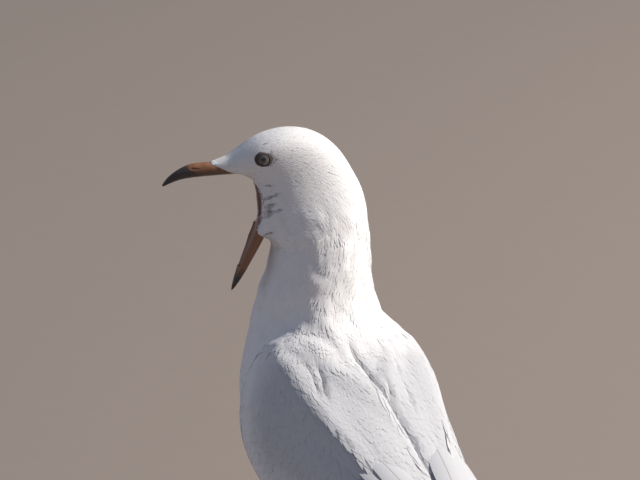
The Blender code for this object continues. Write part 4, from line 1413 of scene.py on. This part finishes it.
class FeatherStack:
    """Rows of large feathers whose lines are given one by one, to be made one piece."""

    def __init__(self):
        self.centres, self.normals, self.half_widths, self.patterns = [], [], [], []

    def add(self, line, facing, half_width, pattern=0.0):
        self.centres.append(line)
        self.normals.append(np.tile(unit(np.array(facing, float)), (len(line), 1)))
        self.half_widths.append(half_width * MM)
        self.patterns.append(pattern)

    def finish(self, name, template, thickness, material, slot, replaced=()):
        count = len(self.centres)
        columns = math.ceil(math.sqrt(count))
        cell = np.arange(count)
        across, down = (cell % columns + 0.5) / columns, (cell // columns + 0.5) / columns
        roots = np.column_stack([across, down, np.full(count, QUILL_PATCH / columns)])
        random = np.random.default_rng(count)
        extra = {"pattern": np.array(self.patterns), "tone": random.uniform(-1, 1, count)}
        mesh = feather_mesh(
            name, template, np.array(self.centres), np.array(self.normals), np.array(self.half_widths),
            np.full(count, thickness * MM), QUILL_CAMBER, roots, extra,
        )
        return feather_piece(name, mesh, material, replaced)


QUILL_TONE, QUILL_TONE_COLOUR = 0.04, (0.3, 0.3, 0.32, 1)  # how much large feathers differ, and towards what
SHAFT_SHARE, SHAFT_COLOUR = 0.5, (0.12, 0.10, 0.09, 1)
MIRROR_EDGE = 0.02  # share of the feather's length over which a mirror fades in


def quill_material(name, vane_colour, end_colour, end, mirror=None):
    """A flight feather: its colour, and another over its end (start and stop along it) and in a mirror."""
    material, tree, shader = new_material(name, Roughness=0.6, Sheen_Weight=0.1)
    vane = use_group(tree, vane_group(), {"Map": vane_map(tree), "Barbs": 60.0, "Slant": 0.25})
    along = vane.outputs["Along"]
    shown = mixed_colour(tree, ramp(tree, along, (end[0], 0), (end[1], 1)), vane_colour, end_colour)
    if mirror:
        low, high = mirror
        spot = ramp(tree, along, (low, 0), (low + MIRROR_EDGE, 1), (high, 1), (high + MIRROR_EDGE, 0))
        spot = maths(tree, "MULTIPLY", spot, attribute(tree, "pattern"))
        shown = mixed_colour(tree, spot, shown, end_colour)
    tone = maths(tree, "MULTIPLY_ADD", attribute(tree, "tone"), QUILL_TONE, QUILL_TONE)
    shown = mixed_colour(tree, tone, shown, QUILL_TONE_COLOUR)
    shaft = maths(tree, "MULTIPLY", vane.outputs["Shaft"], SHAFT_SHARE)
    shown = mixed_colour(tree, shaft, shown, SHAFT_COLOUR)
    tree.links.new(shown, shader.inputs["Base Color"])
    bump(tree, shader, vane.outputs["Height"], 0.12 * MM, 0.6)
    return material


# Places of the left wing are forward, left and height. A bow is how far a feather's middle stands off the
# straight line between its root and tip: left, forward and up. A half is half of its width.
PRIMARY_ROOT, PRIMARY_STEP = (-112.0, 29.0, 136.0), (0.45, 1.7)  # each further one is left and up by the step
WING_TIP = (-242.0, 6.5, 117.0)
PRIMARY_REACH = (1.0, 0.965, 0.90, 0.83, 0.76, 0.69, 0.62)  # how far towards the tip each primary goes
PRIMARY_STACK = 0.55  # how far each lies over the one before
PRIMARY_BOW, PRIMARY_HALF = (2.2, 0, 2.6), 6.6
MIRRORED = 2  # primaries with a white mirror
PRIMARY_END, MIRROR = (0.955, 0.965), (0.80, 0.90)  # shares along the feather
SECONDARIES = 7
SECONDARY_ROOTS = np.array(((-62, 45, 143), (-88, 36, 151)))
SECONDARY_ENDS = np.array(((-128, 31, 131), (-150, 25, 139)))
SECONDARY_BOW, SECONDARY_HALF = (2.4, 0, 1.5), 6.5
TERTIALS = (  # root, tip, half width
    ((-92, 37, 153), (-163, 22.5, 136), 7.5),
    ((-90, 36, 160), (-168, 19.5, 137), 8.5),
    ((-88, 33, 167), (-170, 16, 138.5), 9.0),
    ((-86, 28, 173), (-168, 11.5, 140), 9.0),
    ((-86, 21, 177), (-162, 6.5, 141.5), 8.5),
)
TERTIAL_BOW = (1.2, 0, 3.4)
TERTIAL_LEAN, TERTIAL_TURN = 0.55, 0.12  # how far the first faces outwards, and how much less each next one
TERTIAL_REAR, TERTIAL_UP = 0.15, 0.8  # and how far all face rearwards and up
INNER_END = (0.86, 0.92)  # shares along the feather
WING_OUT = (0.80, 0.6)  # left and up shares of the direction that the folded wing faces
QUILL_THICKNESS = 0.45


def bowed_line(root, end, bow, side, steps):
    """A wing feather's line, whose middle stands off by the bow (left, forward, up)."""
    aside, ahead, up = bow
    return quadratic(root, (root + end) / 2 + np.array((aside * side, ahead, up)) * MM, end, steps)


def make_flight_feathers():
    plumage = bpy.context.scene.gull_plumage
    white, grey, black = (*plumage.white, 1), (*plumage.grey, 1), (*plumage.black, 1)
    quills = quill_material("black quills", black, white, PRIMARY_END, MIRROR)
    inner = quill_material("grey quills", grey, white, INNER_END)
    for side, suffix in SIDES:
        stack = FeatherStack()
        facing = Vector((WING_OUT[0] * side, 0, WING_OUT[1]))
        tip = wing_place(WING_TIP, side)
        for k, reach in enumerate(PRIMARY_REACH):
            forward, left, height = PRIMARY_ROOT
            root = wing_place((forward, left + PRIMARY_STEP[0] * k, height + PRIMARY_STEP[1] * k), side)
            end = root + (tip - root) * reach + np.array(facing) * PRIMARY_STACK * k * MM
            line = bowed_line(root, end, PRIMARY_BOW, side, 14)
            stack.add(line, facing, PRIMARY_HALF, float(k < MIRRORED))
        stack.finish(
            "primary_feathers_" + suffix, Template(8, 14, POINTED), QUILL_THICKNESS, quills, "quill_black",
            ("primaries_" + suffix,),
        )
        stack = FeatherStack()
        for share in np.arange(SECONDARIES) / (SECONDARIES - 1):
            root = wing_place(SECONDARY_ROOTS[0] + (SECONDARY_ROOTS[1] - SECONDARY_ROOTS[0]) * share, side)
            end = wing_place(SECONDARY_ENDS[0] + (SECONDARY_ENDS[1] - SECONDARY_ENDS[0]) * share, side)
            stack.add(bowed_line(root, end, SECONDARY_BOW, side, 12), facing, SECONDARY_HALF)
        for k, (root, end, half_width) in enumerate(TERTIALS):
            line = bowed_line(wing_place(root, side), wing_place(end, side), TERTIAL_BOW, side, 12)
            lean = TERTIAL_LEAN - TERTIAL_TURN * k
            stack.add(line, (lean * side, TERTIAL_REAR, TERTIAL_UP), half_width)
        stack.finish(
            "inner_feathers_" + suffix, Template(8, 12, ROUNDED), QUILL_THICKNESS, inner, "plumage_grey",
        )


# Rings of feathers over the tail's root: forward, height, half height and half width of their roots and ends.
TAIL_COVERTS = (
    (-146, 132.5, 11.6, 17.0, -190, 115.2, 2.4, 15.5),
    (-139, 132.7, 15.3, 22.3, -180, 119.8, 3.2, 15.5),
    (-132, 133.5, 18.8, 27.0, -170, 124.4, 4.4, 16.0),
)
TAIL_COVERTS_IN_RING = 18
COVERT_BOW, COVERT_HALF, COVERT_THICKNESS = 1.5, 5.0, 0.3
TAIL_ROOT, TAIL_LENGTH, TAIL_SLOPE = (-143.0, 137.0), 88.0, math.radians(25)
TAIL_FEATHERS = 12
TAIL_SPREAD = (5.0, 16.5)  # half of the fan's width at its root and end
TAIL_BOW, TAIL_HALF, TAIL_THICKNESS = 1.2, 5.4, 0.35
TAIL_ARCH, TAIL_OVERLAP = 4.0, 1.6  # how far the outer feathers hang and lie under the others
TAIL_ROUNDING, TAIL_LEAN = 2.0, 0.35  # how much shorter they are, and how far they face outwards
TAIL_END, TAIL_END_COLOUR = (0.9, 0.99), (0.74, 0.74, 0.75, 1)


def make_tail():
    plumage = bpy.context.scene.gull_plumage
    white = (*plumage.white, 1)
    finish = quill_material("tail quills", white, TAIL_END_COLOUR, TAIL_END)
    along = np.array((0, math.cos(TAIL_SLOPE), -math.sin(TAIL_SLOPE)))
    rise = np.array((0, math.sin(TAIL_SLOPE), math.cos(TAIL_SLOPE)))
    stack = FeatherStack()
    for k in range(TAIL_FEATHERS):
        across = 2 * k / (TAIL_FEATHERS - 1) - 1
        drop = -TAIL_ARCH * across**2 - TAIL_OVERLAP * abs(across)
        root = np.array(trunk_place(TAIL_ROOT[0], TAIL_SPREAD[0] * across, TAIL_ROOT[1]))
        end = root + along * (TAIL_LENGTH - TAIL_ROUNDING * across**2) * MM + rise * drop * MM
        end[0] += (TAIL_SPREAD[1] - TAIL_SPREAD[0]) * across * MM
        middle = (root + end) / 2 + rise * TAIL_BOW * MM
        facing = rise + np.array((TAIL_LEAN * across, 0, 0))
        stack.add(quadratic(root, middle, end, 12), facing, TAIL_HALF)
    vane = Template(8, 12, ROUNDED)
    stack.finish("tail_feathers", vane, TAIL_THICKNESS, finish, "plumage_white", ("tail",))

    stack = FeatherStack()
    for row, ring in enumerate(TAIL_COVERTS):
        forward, height, tall, wide, end_forward, end_height, end_tall, end_wide = ring
        for k in range(TAIL_COVERTS_IN_RING):
            angle = 2 * math.pi * (k + 0.5 * (row % 2)) / TAIL_COVERTS_IN_RING
            aside, up = math.cos(angle), math.sin(angle)
            root = trunk_place(forward, wide * aside, height + tall * up)
            end = trunk_place(end_forward, end_wide * aside, end_height + end_tall * up)
            out = Vector((aside / wide, 0, up / tall)).normalized()
            middle = (root + end) / 2 + out * COVERT_BOW * MM
            stack.add(quadratic(root, middle, end, 10), out, COVERT_HALF)
    stack.finish("tail_coverts", Template(6, 8, ROUNDED), COVERT_THICKNESS, finish, "plumage_white")


# Legs


LEG_VOXEL = 0.55 * MM
SCUTE_DEPTH = 0.22 * MM
SOLE, SOLE_FLAT = 0.9 * MM, 0.45 * MM  # below these heights the foot has no plates and rests on the floor
WEB_TOP = (1.9 * MM, 2.7 * MM)  # what is higher than this on a foot is toe and not web
ANKLE = (7 * MM, 11 * MM)  # height at which the foot's plates give way to the shank's
GROOVE_WIDTH = 0.35  # the less, the narrower the grooves between the plates
LEG_CELLS, GROOVE_SHADE = 900.0, 0.75  # fine scales in a metre, and how dark the grooves are


def leg_material():
    legs = bpy.context.scene.gull_legs
    material, tree, shader = new_material("leg skin", Roughness=0.5)
    places = object_places(tree)
    scales = node(tree, "ShaderNodeTexVoronoi", {"Vector": places, "Scale": LEG_CELLS}, feature="F1")
    cracks = ramp(tree, scales.outputs["Distance"], (0.25, 1), (0.75, 0))
    base = mixed_colour(tree, grain(tree, 5 * MM), scaled(legs.skin, 0.45), (*legs.skin, 1))
    groove = maths(tree, "MULTIPLY", attribute(tree, "groove"), GROOVE_SHADE)
    shown = mixed_colour(tree, groove, base, scaled(legs.skin, 0.25))
    tree.links.new(shown, shader.inputs["Base Color"])
    bump(tree, shader, cracks, 0.12 * MM)
    return material


def claw_material():
    claw = bpy.context.scene.gull_legs.claw
    return mottled_material("claw", 0.6 * MM, (*claw, 1), scaled(claw, 2.5), 0.05 * MM, Roughness=0.35)


def make_legs():
    settings = bpy.context.scene.gull_legs
    finish, claw_finish = leg_material(), claw_material()
    for _, suffix in SIDES:
        shank, foot = "shank_" + suffix, "foot_" + suffix
        leg = refined(LEG_VOXEL, 4, shank, foot)
        places, normals, _ = mesh_arrays(leg)
        low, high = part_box(shank)
        joint = np.array(((low.x + high.x) / 2, low.y, 0))
        reach = np.hypot(places[:, 0] - joint[0], places[:, 1] - joint[1])
        height = places[:, 2]
        on_shank = smoothstep(*ANKLE, height)
        count = np.where(on_shank > 0.5, height, reach) / settings.scutes
        groove = 1 - np.abs(np.sin(np.pi * count)) ** GROOVE_WIDTH
        groove *= np.maximum(on_shank, smoothstep(*WEB_TOP, height))
        moved = places - normals * (SCUTE_DEPTH * groove)[:, None]
        flat = height < SOLE
        moved[flat] = places[flat]
        moved[:, 2] = np.where(height < SOLE_FLAT, 0, np.maximum(moved[:, 2], 0))
        move_points(leg, moved)
        set_attribute(leg, "groove", groove)
        piece("leg_" + suffix, leg, finish, (shank, foot))
        claws = [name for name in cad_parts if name.startswith("claw_" + suffix)]
        piece("claws_" + suffix, refined(0.2 * MM, 3, *claws), claw_finish, claws)


# Stage


CAMERA_AZIMUTH, CAMERA_ELEVATION, CAMERA_DISTANCE = math.radians(152), math.radians(15), 3.0
VIEW_WIDTH = 0.3584
EYE_IN_VIEW = (-0.0319, 0.0459)  # where the left eye is in the view, right of and above its middle
FLOOR_RADIUS = 9.0
KEY_DIRECTION = (0.86, 0.60, 0.12)  # right of the view, above it and towards the camera
KEY_DISTANCE, KEY_SIZE, KEY_TINT = 6.0, 0.6, (1, 0.94, 0.87)
FILL_DIRECTION = (-0.95, 0.25, 0.1)
FILL_DISTANCE, FILL_SIZE, FILL_TINT = 5.0, 3.6, (0.6, 0.76, 1)


def make_stage():
    stage = bpy.context.scene.gull_stage
    scene = bpy.context.scene
    sheet = bmesh.new()
    bmesh.ops.create_circle(sheet, cap_ends=True, segments=64, radius=FLOOR_RADIUS)
    floor = bpy.data.objects.new("floor", to_mesh(sheet, "floor"))
    scene.collection.objects.link(floor)
    material, tree, shader = new_material("floor", Roughness=0.85)
    shown = mixed_colour(tree, grain(tree, 20 * MM), scaled(stage.floor, 0.96), (*stage.floor, 1))
    tree.links.new(shown, shader.inputs["Base Color"])
    floor.data.materials.append(material)

    a, e = CAMERA_AZIMUTH, CAMERA_ELEVATION
    right = Vector((math.cos(a), math.sin(a), 0))
    back = Vector((math.sin(a) * math.cos(e), -math.cos(a) * math.cos(e), math.sin(e)))
    above = back.cross(right)
    middle = EYES["left"] - right * EYE_IN_VIEW[0] - above * EYE_IN_VIEW[1]
    data = bpy.data.cameras.new("camera")
    data.sensor_width = 36
    data.lens = data.sensor_width * CAMERA_DISTANCE / VIEW_WIDTH
    camera = bpy.data.objects.new("camera", data)
    camera.location = middle + back * CAMERA_DISTANCE
    camera.rotation_mode = "QUATERNION"
    camera.rotation_quaternion = (-back).to_track_quat("-Z", "Y")
    scene.collection.objects.link(camera)
    scene.camera = camera

    direction = right * KEY_DIRECTION[0] + above * KEY_DIRECTION[1] + back * KEY_DIRECTION[2]
    add_lamp("key", middle, direction, KEY_DISTANCE, KEY_SIZE, stage.key_power, KEY_TINT)
    direction = right * FILL_DIRECTION[0] + above * FILL_DIRECTION[1] + back * FILL_DIRECTION[2]
    add_lamp("fill", middle, direction, FILL_DISTANCE, FILL_SIZE, stage.fill_power, FILL_TINT)
    world = bpy.data.worlds.new("sky")
    world.use_nodes = True
    world.node_tree.nodes["Background"].inputs["Color"].default_value = (*stage.sky, 1)
    world.node_tree.nodes["Background"].inputs["Strength"].default_value = stage.sky_strength
    scene.world = world
    scene.view_settings.view_transform = "Standard"


def add_lamp(name, target, direction, distance, size, power, tint):
    data = bpy.data.lights.new(name, "AREA")
    data.shape, data.size, data.energy, data.color = "DISK", size, power, tint
    lamp = bpy.data.objects.new(name, data)
    direction = direction.normalized()
    lamp.location = target + direction * distance
    lamp.rotation_mode = "QUATERNION"
    lamp.rotation_quaternion = (-direction).to_track_quat("-Z", "Y")
    bpy.context.scene.collection.objects.link(lamp)


# Operators and panel


class GULL_OT_skin(bpy.types.Operator):
    """Make the one skin that replaces the solids of flesh"""

    bl_idname = "gull.skin"
    bl_label = "Skin"

    def execute(self, context):
        make_skin()
        return {"FINISHED"}


class GULL_OT_head_coat(bpy.types.Operator):
    """Lay the small feathers of the face and crown"""

    bl_idname = "gull.head_coat"
    bl_label = "Head feathers"

    def execute(self, context):
        make_head_coat()
        return {"FINISHED"}


class GULL_OT_neck_coat(bpy.types.Operator):
    """Lay the feathers of the stretched neck"""

    bl_idname = "gull.neck_coat"
    bl_label = "Neck feathers"

    def execute(self, context):
        make_neck_coat()
        return {"FINISHED"}


class GULL_OT_body_coat(bpy.types.Operator):
    """Lay the feathers of the back, breast, belly and thighs"""

    bl_idname = "gull.body_coat"
    bl_label = "Body feathers"

    def execute(self, context):
        make_body_coat()
        return {"FINISHED"}


class GULL_OT_wing_coverts(bpy.types.Operator):
    """Lay the coverts of the folded wings"""

    bl_idname = "gull.wing_coverts"
    bl_label = "Wing coverts"

    def execute(self, context):
        make_wing_coverts()
        return {"FINISHED"}


class GULL_OT_flight_feathers(bpy.types.Operator):
    """Make the folded wings' long feathers"""

    bl_idname = "gull.flight_feathers"
    bl_label = "Flight feathers"

    def execute(self, context):
        make_flight_feathers()
        return {"FINISHED"}


class GULL_OT_tail(bpy.types.Operator):
    """Make the twelve tail feathers and the coverts over their roots"""

    bl_idname = "gull.tail"
    bl_label = "Tail"

    def execute(self, context):
        make_tail()
        return {"FINISHED"}


class GULL_OT_eyes(bpy.types.Operator):
    """Make the eyes and their lids"""

    bl_idname = "gull.eyes"
    bl_label = "Eyes"

    def execute(self, context):
        make_eyes()
        return {"FINISHED"}


class GULL_OT_bill(bpy.types.Operator):
    """Make the horn of both halves of the bill"""

    bl_idname = "gull.bill"
    bl_label = "Bill"

    def execute(self, context):
        make_bill()
        return {"FINISHED"}


class GULL_OT_mouth(bpy.types.Operator):
    """Make the tongue and the fleshy edges of the gape"""

    bl_idname = "gull.mouth"
    bl_label = "Mouth"

    def execute(self, context):
        make_mouth()
        return {"FINISHED"}


class GULL_OT_legs(bpy.types.Operator):
    """Make the scaled legs, the webbed feet and the claws"""

    bl_idname = "gull.legs"
    bl_label = "Legs"

    def execute(self, context):
        make_legs()
        return {"FINISHED"}


class GULL_OT_stage(bpy.types.Operator):
    """Set the floor, the light and the camera"""

    bl_idname = "gull.stage"
    bl_label = "Stage"

    def execute(self, context):
        make_stage()
        return {"FINISHED"}


OPERATORS = (
    GULL_OT_skin, GULL_OT_head_coat, GULL_OT_neck_coat, GULL_OT_body_coat, GULL_OT_wing_coverts,
    GULL_OT_flight_feathers, GULL_OT_tail, GULL_OT_eyes, GULL_OT_bill, GULL_OT_mouth, GULL_OT_legs,
    GULL_OT_stage,
)
SETTINGS = {
    "gull_plumage": GullPlumage,
    "gull_head": GullHead,
    "gull_legs": GullLegs,
    "gull_stage": GullStage,
}


class GULL_PT_parts(bpy.types.Panel):
    bl_label = "Silver Gull"
    bl_idname = "GULL_PT_parts"
    bl_space_type = "VIEW_3D"
    bl_region_type = "UI"
    bl_category = "Gull"

    def draw(self, context):
        for name, group in SETTINGS.items():
            box = self.layout.box()
            for title in group.__annotations__:
                box.prop(getattr(context.scene, name), title)
        for operator in OPERATORS:
            self.layout.operator(operator.bl_idname)


CLASSES = (*SETTINGS.values(), *OPERATORS, GULL_PT_parts)


def register():
    for cls in CLASSES:
        bpy.utils.register_class(cls)
    for name, group in SETTINGS.items():
        setattr(bpy.types.Scene, name, bpy.props.PointerProperty(type=group))


def unregister():
    for name in SETTINGS:
        delattr(bpy.types.Scene, name)
    for cls in reversed(CLASSES):
        bpy.utils.unregister_class(cls)


def main():
    register()
    for operator in OPERATORS:
        group, name = operator.bl_idname.split(".")
        getattr(getattr(bpy.ops, group), name)()


if __name__ == "__main__":
    main()
